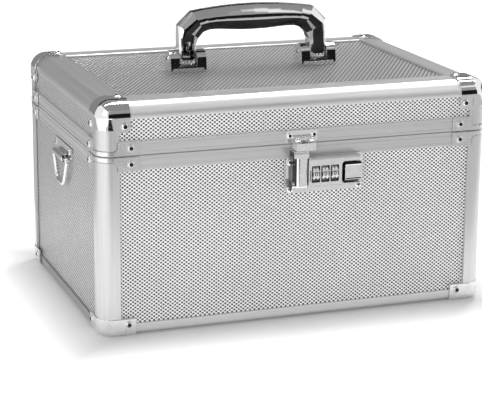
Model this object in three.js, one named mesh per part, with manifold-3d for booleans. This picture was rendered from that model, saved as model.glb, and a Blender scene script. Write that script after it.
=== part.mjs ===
// A lock box: an aluminium frame round dimpled panels, a hinged lid, a folding handle,
// a latch with three digit dials, and a strap ring on each side. Millimetres, +Z up, front at -Y.

import * as THREE from 'three';
import { mergeVertices } from 'three/addons/utils/BufferGeometryUtils.js';
import Module from 'manifold-3d';

const wasm = await Module();
wasm.setup();

// The case
const width = 300;
const depth = 210;
const height = 171;
const lidHeight = 38.3;
const edgeRound = 11;
const fit = 0.3;
const frameWall = 1.3;
const panelThickness = 4;
const liningThickness = 2;

// The frame's visible faces
const postFace = 14.5;
const bottomRailTop = 9.1;
const bottomLip = 14.5;
const bottomEdgeRound = 3;
const baseRimFace = 10.3;
const lidRimFace = 10.2;
const topRailFace = 12.2;
const topLip = 24.4;
const rimTongueRise = 3.3;
const rimTongueClearance = 0.5;

// Corner caps and brackets
const capThickness = 1.2;
const bottomCapHeight = 13.4;
const bottomCapArm = 25.5;
const bottomCapFoot = 8;
const bottomCapRivetInset = 20;
const bottomCapRivetHeight = 8.9;
const ballCapArm = 22.5;
const ballCapTopReach = 12;
const ballCapPostReach = 12.6;
const ballCapDrop = 19.3;
const ballCapEarDrop = 21.2;
const ballCapRivetInset = 18.4;
const ballCapRivetDrop = 16.6;
const rimBracketArm = 28.5;
const rimBracketMargin = 0.5;
const rimBracketThickness = 1;
const rimBracketRivetInset = 22.5;
const rivetRadius = 2.4;
const rivetHeight = 0.9;
const rivetSink = 0.4;

// Hinges
const hingeEndInset = 38;
const hingeWidth = 44;
const hingeEndKnuckle = 12;
const hingeBarrelRadius = 3;
const hingePinRadius = 1.3;
const hingeLeafThickness = 1.2;
const hingeLeafReach = 9;
const hingeLeafGap = 0.45;
const hingeScrewInset = 8;
const hingeScrewRadius = 1.92;
const hingeScrewHeight = 0.72;

// Handle
const handleWidth = 120;
const handlePivotInset = 7;
const handlePivotHeight = 9.9;
const handleRise = 40;
const handleShoulderRise = 25.5;
const handleChamfer = 10.5;
const handleUnderRise = 20.5;
const handleGripDepth = 16;
const handleLegThickness = 13.2;
const handleLegDepth = 12.4;
const handleInnerRound = 13;
const handleEdgeChamfer = 3.2;
const handleFacetAcross = 4.48;
const handleFacetRise = 7.2;
const handleFacetDrop = 6.4;
const clevisWidth = 28.4;
const clevisDepth = 17;
const clevisBase = 3;
const clevisEarRadius = 6.6;
const clevisPinRadius = 2.4;
const clevisPinInset = 1;

// Lock
const lockLeft = -11.3;
const lockWidth = 60.6;
const lockHeight = 26.9;
const lockTopDrop = 9.2;
const lockFlange = 1.2;
const lockBodyInset = 14.3;
const lockBodyMargin = 5.9;
const lockBodyRise = 5;
const lockBodyReach = 10.2;
const lockWall = 1.4;
const lockChamfer = 1.2;
const lockScrewInset = 3.4;
const lockScrewRise = 2.4;
const lockScrewDrop = 4.4;
const lockScrewRadius = 1.9;
const lockScrewHeight = 0.8;
const dialCount = 3;
const dialInset = 5.5;
const dialPitch = 7.35;
const dialWidth = 5.8;
const dialRadius = 7.2;
const dialShoulder = 0.7;
const dialProud = 1.2;
const dialRise = 15;
const dialSides = 20;
const windowHeight = 12.4;
const windowSideClearance = 0.35;
const spindleRadius = 1.6;
const lockBackThickness = 1.2;
const buttonRecessGap = 5.7;
const buttonRecessHeight = 16.4;
const buttonInset = 2.3;
const buttonWidth = 13.2;
const buttonHeight = 14.4;
const buttonEdge = 1.4;
const buttonProud = 0.5;
const buttonTravel = 3;
const buttonStemWidth = 6;
const buttonStemHeight = 5;
const buttonSlotClearance = 0.5;
const backPlateMargin = 4;

// Latch arm and strike
const armWidth = 9.2;
const armHeadWidth = 11.4;
const armHeadDrop = 4.6;
const armHeadChamfer = 1.4;
const armRidgeReach = 11.3;
const armRidgeRound = 2.4;
const armHeadProud = 0.3;
const armClearance = 0.5;
const armPivotReach = 4;
const armPivotLift = 1.8;
const armBarrelRadius = 3.1;
const armPinRadius = 1.2;
const armLugWidth = 2;
const strikeOffset = 2.7;
const strikeWidth = 24.8;
const strikeFlangeHeight = 8.6;
const strikeRivetInset = 3;
const strikeRivetDrop = 3.6;
const strikeRivetRadius = 2.16;
const strikeHoodWidth = 15;
const strikeHoodReach = 11;
const strikeHoodTopDrop = 4.2;
const strikeHoodDrop = 13.6;
const strikeTopFall = 0.6;
const strikeStepDrop = 2.2;
const strikeStepReach = 5.75;
const strikeStepFall = 0.4;
const strikeNoseDrop = 1.8;
const strikeRoofDrop = 1.4;
const strikeRoofFall = 1;
const strikeSlotWidth = 6.6;
const strikeWall = 1.2;

// Strap rings
const ringBracketWidth = 50;
const ringBracketHeight = 10;
const ringBracketThickness = 1.5;
const ringBracketTopDrop = 0.8;
const ringScrewInset = 5;
const ringScrewDrop = 4;
const ringSleeveWidth = 26;
const ringSleeveRadius = 3.2;
const ringWireRadius = 1.8;
const ringSleeveClearance = 0.4;
const ringWidth = 42;
const ringDrop = 21;
const ringBottomWidth = 20;
const ringTopRound = 3;
const ringFootRound = 8;

// How far a joined block runs into its neighbour, and a cutter past what it cuts
const lap = 0.5;
const past = 1;

// Sizes that follow from the driving ones
const halfWidth = width / 2;
const halfDepth = depth / 2;
const splitHeight = height - lidHeight;
const sharpCorner = 0.4;
const capOffset = fit + capThickness;
const panelOuter = frameWall + fit;
const panelInner = panelOuter + panelThickness;
const innerLegOuter = panelInner + fit;
const innerLegInner = innerLegOuter + frameWall;
const liningOuter = innerLegInner + fit;
const frameBottom = capOffset;
const baseRimBottom = splitHeight - baseRimFace;
const lidRimBottom = splitHeight + fit;
const lidRimTop = lidRimBottom + lidRimFace;
const topRailBottom = height - topRailFace;
const topPanelTop = height - panelOuter;
const topPanelBottom = topPanelTop - panelThickness;
const topInnerLegTop = topPanelBottom - fit;
const topInnerLegBottom = topInnerLegTop - frameWall;
const bottomPanelBottom = frameBottom + frameWall + fit;
const bottomPanelTop = bottomPanelBottom + panelThickness;
const panelFaceY = halfDepth - panelOuter;
const panelFaceX = halfWidth - panelOuter;
const hingeAxisY = halfDepth + fit + hingeBarrelRadius;
const hingeAxisZ = (splitHeight + lidRimBottom) / 2;
const handleAxisZ = topPanelTop + fit + handlePivotHeight;
const handlePivotX = handleWidth / 2 - handlePivotInset;
const hingeCentre = halfWidth - hingeEndInset - hingeWidth / 2;
const lockRight = lockLeft + lockWidth;
const lockTop = splitHeight - lockTopDrop;
const lockBottom = lockTop - lockHeight;
const lockBodyLeft = lockLeft + lockBodyInset;
const lockBodyRight = lockRight - lockBodyMargin;
const lockBodyBottom = lockBottom + lockBodyRise;
const lockFrontY = -(halfDepth + fit + lockBodyReach);
const dialHeight = lockBottom + dialRise;
const dialFirst = lockBodyLeft + dialInset;
const dialLast = dialFirst + (dialCount - 1) * dialPitch;
const buttonRecessLeft = dialLast + buttonRecessGap;
const buttonLeft = buttonRecessLeft + buttonInset;
const dialAxisY = lockFrontY - dialProud + dialRadius;
const armBackY = -(halfDepth + fit + lockFlange + lockScrewHeight + fit);
const armPivotY = -(halfDepth + fit + lockFlange + armPivotReach);
const armPivotHeight = lockBodyBottom + armPivotLift;
const armCentre = lockBodyLeft - armClearance - armWidth / 2;
const strikeCentre = armCentre + strikeOffset;
const ringAxisX = panelFaceX + fit + ringSleeveRadius;
const ringAxisZ = baseRimBottom - ringBracketTopDrop - ringBracketHeight;
const frontReach = Math.max(
  halfDepth + fit + lockBodyReach + Math.max(dialProud, buttonProud),
  halfDepth + armRidgeReach + armHeadProud,
  halfDepth + strikeHoodReach,
);
const backReach = hingeAxisY + hingeBarrelRadius;
const centreShift = (frontReach - backReach) / 2;
const steps = 5;

// Colours of the finishes
const finishes = {
  aluminium: { color: 0xc4c6c8, roughness: 0.35, metalness: 0.9 },
  dimpled: { color: 0xb4b6b8, roughness: 0.45, metalness: 0.75 },
  chrome: { color: 0xe2e4e6, roughness: 0.08, metalness: 1.0 },
  steel: { color: 0xb0b2b5, roughness: 0.3, metalness: 0.9 },
  lining: { color: 0x2b2c2e, roughness: 0.9, metalness: 0.0 },
};

const lockBox = new THREE.Group();

// Names a piece, gives it a material and adds it to the box
function addPiece(name, shape, finish, parent = lockBox) {
  const geometry = shape.isBufferGeometry ? shape : geometryFromSolid(shape);
  const material = new THREE.MeshStandardMaterial(finishes[finish]);
  const mesh = new THREE.Mesh(geometry, material);
  mesh.name = name;
  parent.add(mesh);
  return mesh;
}

// A closed geometry as a solid that can be joined and cut
function solidFromGeometry(geometry) {
  const bare = new THREE.BufferGeometry();
  bare.setAttribute('position', geometry.getAttribute('position').clone());
  if (geometry.index) bare.setIndex(geometry.index.clone());
  const merged = mergeVertices(bare, 1e-4);
  const vertProperties = new Float32Array(merged.getAttribute('position').array);
  const triVerts = new Uint32Array(merged.index.array);
  return new wasm.Manifold(new wasm.Mesh({ numProp: 3, vertProperties, triVerts }));
}

function geometryFromSolid(solid) {
  const mesh = solid.getMesh();
  const geometry = new THREE.BufferGeometry();
  const count = mesh.vertProperties.length / mesh.numProp;
  const positions = new Float32Array(count * 3);
  for (let i = 0; i < count; i += 1) {
    for (let axis = 0; axis < 3; axis += 1) {
      positions[i * 3 + axis] = mesh.vertProperties[i * mesh.numProp + axis];
    }
  }
  geometry.setAttribute('position', new THREE.BufferAttribute(positions, 3));
  geometry.setIndex(Array.from(mesh.triVerts));
  geometry.computeVertexNormals();
  return geometry;
}

function asSolid(shape) {
  return shape.isBufferGeometry ? solidFromGeometry(shape) : shape;
}

function joined(...shapes) {
  return shapes.map(asSolid).reduce((sum, next) => sum.add(next));
}

function cut(shape, ...cutters) {
  return cutters.map(asSolid).reduce((rest, next) => rest.subtract(next), asSolid(shape));
}

function kept(shape, region) {
  return asSolid(shape).intersect(asSolid(region));
}

// A block between two corners
function block(x0, x1, y0, y1, z0, z1) {
  const geometry = new THREE.BoxGeometry(Math.abs(x1 - x0), Math.abs(y1 - y0), Math.abs(z1 - z0));
  geometry.translate((x0 + x1) / 2, (y0 + y1) / 2, (z0 + z1) / 2);
  return geometry;
}

// An outline in the XY plane, raised from z0 to z1
function raised(points, z0, z1) {
  const shape = new THREE.Shape(points.map(([x, y]) => new THREE.Vector2(x, y)));
  const geometry = new THREE.ExtrudeGeometry(shape, { depth: z1 - z0, bevelEnabled: false });
  geometry.translate(0, 0, z0);
  return geometry;
}

// An outline in the YZ plane, drawn out from x0 to x1
function drawnAlongX(points, x0, x1) {
  const geometry = raised(points, 0, x1 - x0);
  geometry.applyMatrix4(new THREE.Matrix4().set(0, 0, 1, x0, 1, 0, 0, 0, 0, 1, 0, 0, 0, 0, 0, 1));
  return geometry;
}

// A round bar along X
function barAlongX(radius, x0, x1, y, z, sides = 16) {
  const geometry = new THREE.CylinderGeometry(radius, radius, x1 - x0, sides);
  geometry.rotateZ(Math.PI / 2);
  geometry.translate((x0 + x1) / 2, y, z);
  return geometry;
}

function arcPoints(centreX, centreY, radius, from, to, count = steps) {
  const points = [];
  for (let i = 0; i <= count; i += 1) {
    const angle = from + ((to - from) * i) / count;
    points.push([centreX + radius * Math.cos(angle), centreY + radius * Math.sin(angle)]);
  }
  return points;
}

// An outline whose corners are rounded, each by the radius given with it
function roundedOutline(corners, count = 4) {
  const points = [];
  corners.forEach(([x, y, radius = 0], i) => {
    const here = new THREE.Vector2(x, y);
    if (radius === 0) {
      points.push([x, y]);
      return;
    }
    const before = corners[(i + corners.length - 1) % corners.length];
    const after = corners[(i + 1) % corners.length];
    const toBefore = new THREE.Vector2(before[0] - x, before[1] - y).normalize();
    const toAfter = new THREE.Vector2(after[0] - x, after[1] - y).normalize();
    const half = Math.acos(THREE.MathUtils.clamp(toBefore.dot(toAfter), -1, 1)) / 2;
    const inward = toBefore.clone().add(toAfter).normalize();
    const centre = here.clone().addScaledVector(inward, radius / Math.sin(half));
    const start = here.clone().addScaledVector(toBefore, radius / Math.tan(half)).sub(centre);
    const end = here.clone().addScaledVector(toAfter, radius / Math.tan(half)).sub(centre);
    let sweep = end.angle() - start.angle();
    if (sweep > Math.PI) sweep -= 2 * Math.PI;
    if (sweep < -Math.PI) sweep += 2 * Math.PI;
    points.push(...arcPoints(centre.x, centre.y, radius, start.angle(), start.angle() + sweep, count));
  });
  return points;
}

// Rows of points joined into one closed skin; an open run of rows gets an end face at each end
function skinnedRows(rows, closes) {
  const size = rows[0].length;
  const positions = rows.flat(2);
  const indices = [];
  const last = closes ? rows.length : rows.length - 1;
  for (let i = 0; i < last; i += 1) {
    const next = (i + 1) % rows.length;
    for (let j = 0; j < size; j += 1) {
      const side = (j + 1) % size;
      indices.push(i * size + j, next * size + j, next * size + side);
      indices.push(i * size + j, next * size + side, i * size + side);
    }
  }
  return { positions, indices, size };
}

function facingOut(positions, indices) {
  const at = (i) => new THREE.Vector3(...positions.slice(i * 3, i * 3 + 3));
  let volume = 0;
  for (let i = 0; i < indices.length; i += 3) {
    volume += at(indices[i]).dot(at(indices[i + 1]).cross(at(indices[i + 2])));
  }
  const ordered = volume > 0 ? indices : indices.slice().reverse();
  const geometry = new THREE.BufferGeometry();
  geometry.setAttribute('position', new THREE.Float32BufferAttribute(positions, 3));
  geometry.setIndex(ordered);
  geometry.computeVertexNormals();
  return geometry;
}

// One quarter of the case's outline, at a distance inward from its sides
function cornerStations(inset) {
  const radius = Math.max(edgeRound - inset, sharpCorner);
  return arcPoints(halfWidth - inset - radius, halfDepth - inset - radius, radius, 0, Math.PI / 2);
}

function caseOutline(inset) {
  const corner = cornerStations(inset);
  const turned = corner.slice().reverse();
  return [
    ...corner,
    ...turned.map(([x, y]) => [-x, y]),
    ...corner.map(([x, y]) => [-x, -y]),
    ...turned.map(([x, y]) => [x, -y]),
  ];
}

// A section of (inset, height) points carried right round the case
function frameRound(section) {
  const loops = section.map(([inset, z]) => caseOutline(inset).map(([x, y]) => [x, y, z]));
  const rows = loops[0].map((_, i) => loops.map((loop) => loop[i]));
  const { positions, indices } = skinnedRows(rows, true);
  return facingOut(positions, indices);
}

// The same section carried round one corner only, with an arm along each side
function cornerRound(section, arm) {
  const loops = section.map(([inset, z]) => [
    [halfWidth - inset, halfDepth - arm, z],
    ...cornerStations(inset).map(([x, y]) => [x, y, z]),
    [halfWidth - arm, halfDepth - inset, z],
  ]);
  const rows = loops[0].map((_, i) => loops.map((loop) => loop[i]));
  const { positions, indices, size } = skinnedRows(rows, false);
  const outline = section.map(([inset, z]) => new THREE.Vector2(inset, z));
  const faces = THREE.ShapeUtils.triangulateShape(outline, []);
  const areaSign = THREE.ShapeUtils.isClockWise(outline) ? -1 : 1;
  const lastRow = (rows.length - 1) * size;
  faces.forEach(([a, b, c]) => {
    const [first, second] = areaSign > 0 ? [b, c] : [c, b];
    indices.push(a, first, second);
    indices.push(lastRow + a, lastRow + second, lastRow + first);
  });
  return facingOut(positions, indices);
}

// A stack of outlines closed at both ends: the lid's outer form, swollen by an offset
function lidForm(offset) {
  const levels = [[-offset, splitHeight]];
  for (let i = 0; i <= steps; i += 1) {
    const angle = (Math.PI / 2) * (i / steps);
    const reach = edgeRound + offset;
    levels.push([edgeRound - reach * Math.cos(angle), height - edgeRound + reach * Math.sin(angle)]);
  }
  const rows = levels.map(([inset, z]) => caseOutline(inset).map(([x, y]) => [x, y, z]));
  const { positions, indices, size } = skinnedRows(rows, false);
  const lastRow = (rows.length - 1) * size;
  for (let i = 1; i < size - 1; i += 1) {
    indices.push(0, i, i + 1);
    indices.push(lastRow, lastRow + i + 1, lastRow + i);
  }
  return facingOut(positions, indices);
}

// The copy of a corner piece for another corner of the case
const corners = [
  { name: 'back_right', x: 1, y: 1 },
  { name: 'back_left', x: -1, y: 1 },
  { name: 'front_left', x: -1, y: -1 },
  { name: 'front_right', x: 1, y: -1 },
];

function mirrored(shape, x, y) {
  const source = shape.isBufferGeometry ? shape : geometryFromSolid(shape);
  const geometry = source.clone();
  geometry.applyMatrix4(new THREE.Matrix4().makeScale(x, y, 1));
  const positions = Array.from(geometry.getAttribute('position').array);
  const indices = geometry.index
    ? Array.from(geometry.index.array)
    : Array.from({ length: positions.length / 3 }, (_, i) => i);
  return facingOut(positions, indices);
}

function addCornerSet(name, shape, finish) {
  corners.forEach((corner) => {
    addPiece(`${name}_${corner.name}`, mirrored(shape, corner.x, corner.y), finish);
  });
}

// A low domed head standing on a face, pointing along the given direction
function fastenerHead(radius, rise, at, direction, sides = 9) {
  const profile = [
    [0, -rivetSink],
    [radius, -rivetSink],
    [radius, rise * 0.4],
    [radius * 0.7, rise],
    [0, rise],
  ].map(([r, y]) => new THREE.Vector2(r, y));
  const geometry = new THREE.LatheGeometry(profile, sides);
  const turn = new THREE.Quaternion().setFromUnitVectors(
    new THREE.Vector3(0, 1, 0),
    new THREE.Vector3(...direction),
  );
  geometry.applyQuaternion(turn);
  geometry.translate(...at);
  return geometry;
}

// The panels: flat boards held in the frame's channels
function addWallPanels(prefix, bottom, top, frontCutters = []) {
  const endX = halfWidth - edgeRound;
  const endY = halfDepth - edgeRound;
  const front = block(-endX, endX, -panelFaceY, -panelFaceY + panelThickness, bottom, top);
  addPiece(`${prefix}_front_panel`, cut(front, ...frontCutters), 'dimpled');
  const back = block(-endX, endX, panelFaceY - panelThickness, panelFaceY, bottom, top);
  addPiece(`${prefix}_back_panel`, back, 'dimpled');
  const left = block(-panelFaceX, -panelFaceX + panelThickness, -endY, endY, bottom, top);
  addPiece(`${prefix}_left_panel`, left, 'dimpled');
  const right = block(panelFaceX - panelThickness, panelFaceX, -endY, endY, bottom, top);
  addPiece(`${prefix}_right_panel`, right, 'dimpled');
}

// The lock's inside room, which also passes through the front panel
const lockRoom = {
  left: lockBodyLeft + lockWall,
  right: buttonRecessLeft - lockWall,
  bottom: dialHeight - dialRadius - buttonSlotClearance,
  top: dialHeight + dialRadius + buttonSlotClearance,
};
const buttonSlot = {
  left: buttonLeft + (buttonWidth - buttonStemWidth) / 2 - buttonSlotClearance,
  right: buttonLeft + (buttonWidth + buttonStemWidth) / 2 + buttonTravel + buttonSlotClearance,
  bottom: dialHeight - buttonStemHeight / 2 - buttonSlotClearance,
  top: dialHeight + buttonStemHeight / 2 + buttonSlotClearance,
};

function lockRoomCutter(y0, y1) {
  return block(lockRoom.left, lockRoom.right, y0, y1, lockRoom.bottom, lockRoom.top);
}

function buttonSlotCutter(y0, y1) {
  return block(buttonSlot.left, buttonSlot.right, y0, y1, buttonSlot.bottom, buttonSlot.top);
}

const panelCutFront = -halfDepth;
const panelCutBack = -halfDepth + liningOuter;
addWallPanels('base', frameBottom + frameWall + fit, splitHeight - frameWall - fit, [
  lockRoomCutter(panelCutFront, panelCutBack),
  buttonSlotCutter(panelCutFront, panelCutBack),
]);
const lidPanelFoot = splitHeight + rimTongueRise + rimTongueClearance + frameWall;
addWallPanels('lid', lidPanelFoot + fit, topInnerLegBottom - fit);

addPiece(
  'bottom_panel',
  raised(caseOutline(liningOuter), bottomPanelBottom, bottomPanelTop),
  'dimpled',
);
const topPanelEdge = edgeRound + 2 * fit + sharpCorner;
addPiece(
  'lid_top_panel',
  block(
    -halfWidth + topPanelEdge,
    halfWidth - topPanelEdge,
    -halfDepth + topPanelEdge,
    halfDepth - topPanelEdge,
    topPanelBottom,
    topPanelTop,
  ),
  'dimpled',
);

// Corner posts: an outer and an inner angle with a channel between them for each panel
const postSolidEdge = edgeRound - fit;
const postSection = [
  [halfWidth, halfDepth - postFace],
  ...arcPoints(halfWidth - edgeRound, halfDepth - edgeRound, edgeRound, 0, Math.PI / 2),
  [halfWidth - postFace, halfDepth],
  [halfWidth - postFace, halfDepth - frameWall],
  [halfWidth - postSolidEdge, halfDepth - frameWall],
  [halfWidth - postSolidEdge, halfDepth - innerLegOuter],
  [halfWidth - postFace, halfDepth - innerLegOuter],
  [halfWidth - postFace, halfDepth - innerLegInner],
  [halfWidth - innerLegInner, halfDepth - innerLegInner],
  [halfWidth - innerLegInner, halfDepth - postFace],
  [halfWidth - innerLegOuter, halfDepth - postFace],
  [halfWidth - innerLegOuter, halfDepth - postSolidEdge],
  [halfWidth - frameWall, halfDepth - postSolidEdge],
  [halfWidth - frameWall, halfDepth - postFace],
];
addCornerSet('base_post', raised(postSection, bottomRailTop + fit, baseRimBottom - fit), 'aluminium');
addCornerSet('lid_post', raised(postSection, lidRimTop + fit, topRailBottom - fit), 'aluminium');

// Bottom frame: it holds the wall panels' feet and carries the bottom panel on its lip
const bottomWebTop = frameBottom + frameWall;
const bottomRoundZ = frameBottom + bottomEdgeRound;
const down = -Math.PI / 2;
addPiece(
  'bottom_frame',
  frameRound([
    [0, bottomRailTop],
    [frameWall, bottomRailTop],
    [frameWall, bottomWebTop],
    [innerLegOuter, bottomWebTop],
    [innerLegOuter, bottomRailTop],
    [innerLegInner, bottomRailTop],
    [innerLegInner, bottomWebTop],
    [bottomLip, bottomWebTop],
    [bottomLip, frameBottom],
    ...arcPoints(bottomEdgeRound, bottomRoundZ, bottomEdgeRound, down, -Math.PI, 3),
  ]),
  'aluminium',
);

// Base rim: it closes the tray's walls and carries the tongue that stands up inside the lid
addPiece(
  'base_rim',
  frameRound([
    [0, baseRimBottom],
    [0, splitHeight],
    [innerLegOuter, splitHeight],
    [innerLegOuter, splitHeight + rimTongueRise],
    [innerLegInner, splitHeight + rimTongueRise],
    [innerLegInner, baseRimBottom],
    [innerLegOuter, baseRimBottom],
    [innerLegOuter, splitHeight - frameWall],
    [frameWall, splitHeight - frameWall],
    [frameWall, baseRimBottom],
  ]),
  'aluminium',
);

// Lid rim: it shuts on the base rim and clears the tongue
const tongueGroove = innerLegOuter - rimTongueClearance;
const grooveRoof = splitHeight + rimTongueRise + rimTongueClearance;
addPiece(
  'lid_rim',
  frameRound([
    [0, lidRimBottom],
    [0, lidRimTop],
    [frameWall, lidRimTop],
    [frameWall, lidPanelFoot],
    [innerLegOuter, lidPanelFoot],
    [innerLegOuter, lidRimTop],
    [innerLegInner, lidRimTop],
    [innerLegInner, grooveRoof],
    [tongueGroove, grooveRoof],
    [tongueGroove, lidRimBottom],
  ]),
  'aluminium',
);

// Lid top frame: a rounded edge, a wide lip over the top panel and a channel for the lid's walls
const topSlotEnd = topPanelEdge - fit;
addPiece(
  'lid_top_frame',
  frameRound([
    [0, topRailBottom],
    ...arcPoints(edgeRound, height - edgeRound, edgeRound, Math.PI, Math.PI / 2),
    [topLip, height],
    [topLip, height - frameWall],
    [topSlotEnd, height - frameWall],
    [topSlotEnd, topInnerLegTop],
    [topLip, topInnerLegTop],
    [topLip, topInnerLegBottom],
    [innerLegInner, topInnerLegBottom],
    [innerLegInner, topRailBottom],
    [innerLegOuter, topRailBottom],
    [innerLegOuter, topInnerLegBottom],
    [frameWall, topInnerLegBottom],
    [frameWall, topRailBottom],
  ]),
  'aluminium',
);

// Linings: a soft tray in the base and a soft hood in the lid
function liningTray(bottom, top, closedAtTop) {
  const roomBottom = closedAtTop ? bottom - past : bottom + liningThickness;
  const roomTop = closedAtTop ? top - liningThickness : top + past;
  return cut(
    raised(caseOutline(liningOuter), bottom, top),
    raised(caseOutline(liningOuter + liningThickness), roomBottom, roomTop),
  );
}

addPiece('base_lining', liningTray(bottomPanelTop + fit, splitHeight - frameWall, false), 'lining');
addPiece('lid_lining', liningTray(grooveRoof + fit, topInnerLegBottom - fit, true), 'lining');

// Bottom corner caps: they wrap the frame's corners and are the feet that the box stands on
const bottomCapSection = [
  ...arcPoints(bottomEdgeRound, bottomRoundZ, bottomEdgeRound + capOffset, down, -Math.PI, 3),
  [-capOffset, bottomCapHeight],
  [-fit, bottomCapHeight],
  ...arcPoints(bottomEdgeRound, bottomRoundZ, bottomEdgeRound + fit, -Math.PI, down, 3),
  [bottomCapFoot, capThickness],
  [bottomCapFoot, 0],
];
const bottomCapFaceRivets = [
  fastenerHead(
    rivetRadius,
    rivetHeight,
    [halfWidth - bottomCapRivetInset, halfDepth + capOffset, bottomCapRivetHeight],
    [0, 1, 0],
  ),
  fastenerHead(
    rivetRadius,
    rivetHeight,
    [halfWidth + capOffset, halfDepth - bottomCapRivetInset, bottomCapRivetHeight],
    [1, 0, 0],
  ),
];
addCornerSet(
  'bottom_corner',
  joined(cornerRound(bottomCapSection, bottomCapArm), ...bottomCapFaceRivets),
  'steel',
);

// Rim corner brackets: one on the base rim and one on the lid rim, at each corner
function rimBracket(bottom, top, rivetZ) {
  const outer = fit + rimBracketThickness;
  const section = [
    [-outer, bottom],
    [-outer, top],
    [-fit, top],
    [-fit, bottom],
  ];
  const rivetAt = halfWidth - rimBracketRivetInset;
  const rivetSide = halfDepth - rimBracketRivetInset;
  return joined(
    cornerRound(section, rimBracketArm),
    fastenerHead(rivetRadius, rivetHeight, [rivetAt, halfDepth + outer, rivetZ], [0, 1, 0]),
    fastenerHead(rivetRadius, rivetHeight, [halfWidth + outer, rivetSide, rivetZ], [1, 0, 0]),
  );
}

const baseBracketBottom = baseRimBottom + rimBracketMargin;
const baseBracketTop = splitHeight - rimBracketMargin;
const lidBracketBottom = lidRimBottom + rimBracketMargin;
const lidBracketTop = lidRimTop - rimBracketMargin;
addCornerSet(
  'base_rim_corner',
  rimBracket(baseBracketBottom, baseBracketTop, (baseBracketBottom + baseBracketTop) / 2),
  'steel',
);
addCornerSet(
  'lid_rim_corner',
  rimBracket(lidBracketBottom, lidBracketTop, (lidBracketBottom + lidBracketTop) / 2),
  'steel',
);

// Ball corners of the lid: a shell over the three edges with a riveted ear in each crook
function ballCorner() {
  const far = edgeRound + capOffset;
  const beyondX = halfWidth + far;
  const beyondY = halfDepth + far;
  const beyondZ = height + far;
  const armX = halfWidth - ballCapArm;
  const armY = halfDepth - ballCapArm;
  const armBottom = topRailBottom - 2 * fit;
  const dropZ = height - ballCapDrop;
  const shell = cut(lidForm(capOffset), lidForm(fit));
  const arms = joined(
    block(armX, beyondX, halfDepth - ballCapTopReach, beyondY, armBottom, beyondZ),
    block(halfWidth - ballCapTopReach, beyondX, armY, beyondY, armBottom, beyondZ),
    block(halfWidth - ballCapPostReach, beyondX, halfDepth - ballCapPostReach, beyondY, dropZ, beyondZ),
  );
  const earTopX = halfWidth - ballCapPostReach + past;
  const earTopY = halfDepth - ballCapPostReach + past;
  const earBottom = height - ballCapEarDrop;
  const faceY = halfDepth + fit;
  const faceX = halfWidth + fit;
  const padX = halfWidth - postFace - fit;
  const padY = halfDepth - postFace - fit;
  const padTop = topRailBottom - fit;
  const ears = [
    block(armX, earTopX, faceY, faceY + capThickness, earBottom, armBottom + past),
    block(faceX, faceX + capThickness, armY, earTopY, earBottom, armBottom + past),
    block(armX, earTopX, armY, earTopY, height + fit, height + capOffset),
    block(armX, padX, panelFaceY + fit, faceY + lap, earBottom, padTop),
    block(panelFaceX + fit, faceX + lap, armY, padY, earBottom, padTop),
  ];
  const rivetX = halfWidth - ballCapRivetInset;
  const rivetY = halfDepth - ballCapRivetInset;
  const rivetZ = height - ballCapRivetDrop;
  const rivets = [
    fastenerHead(rivetRadius, rivetHeight, [rivetX, halfDepth + capOffset, rivetZ], [0, 1, 0]),
    fastenerHead(rivetRadius, rivetHeight, [halfWidth + capOffset, rivetY, rivetZ], [1, 0, 0]),
    fastenerHead(rivetRadius, rivetHeight, [rivetX, rivetY, height + capOffset], [0, 0, 1]),
  ];
  return joined(kept(shell, arms), ...ears, ...rivets);
}

addCornerSet('lid_corner_cap', ballCorner(), 'chrome');

// Rear hinges: the base leaf holds the pin, the lid leaf turns on it
function hingeLeaf(centreX, isLid) {
  const leafFace = halfDepth + fit;
  const leafBack = leafFace + hingeLeafThickness;
  const side = isLid ? 1 : -1;
  const start = hingeAxisZ + side * (hingeBarrelRadius + hingeLeafGap);
  const end = hingeAxisZ + side * hingeLeafReach;
  const left = centreX - hingeWidth / 2;
  const right = centreX + hingeWidth / 2;
  const innerLeft = left + hingeEndKnuckle + (isLid ? fit / 2 : -fit / 2);
  const innerRight = right - hingeEndKnuckle - (isLid ? fit / 2 : -fit / 2);
  const spans = isLid
    ? [[innerLeft, innerRight]]
    : [
        [left, innerLeft],
        [innerRight, right],
      ];
  const plate = block(left, right, leafFace, leafBack, Math.min(start, end), Math.max(start, end));
  const pieces = [plate];
  spans.forEach(([from, to]) => {
    const low = Math.min(hingeAxisZ, start + side * lap);
    const high = Math.max(hingeAxisZ, start + side * lap);
    pieces.push(block(from, to, leafFace, leafBack, low, high));
    pieces.push(barAlongX(hingeBarrelRadius, from, to, hingeAxisY, hingeAxisZ, 20));
  });
  const screwZ = (start + end) / 2;
  [left + hingeScrewInset, right - hingeScrewInset].forEach((x) => {
    pieces.push(fastenerHead(hingeScrewRadius, hingeScrewHeight, [x, leafBack, screwZ], [0, 1, 0]));
  });
  const body = joined(...pieces);
  const bore = barAlongX(hingePinRadius + fit, left - past, right + past, hingeAxisY, hingeAxisZ, 20);
  return isLid
    ? cut(body, bore)
    : joined(body, barAlongX(hingePinRadius, left, right, hingeAxisY, hingeAxisZ, 16));
}

[
  ['left', -hingeCentre],
  ['right', hingeCentre],
].forEach(([side, x]) => {
  addPiece(`hinge_base_leaf_${side}`, hingeLeaf(x, false), 'steel');
  addPiece(`hinge_lid_leaf_${side}`, hingeLeaf(x, true), 'steel');
});

// Handle brackets: a foot with two round-topped ears and the pin between them
const earThickness = (clevisWidth - handleLegThickness) / 2 - fit;

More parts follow.
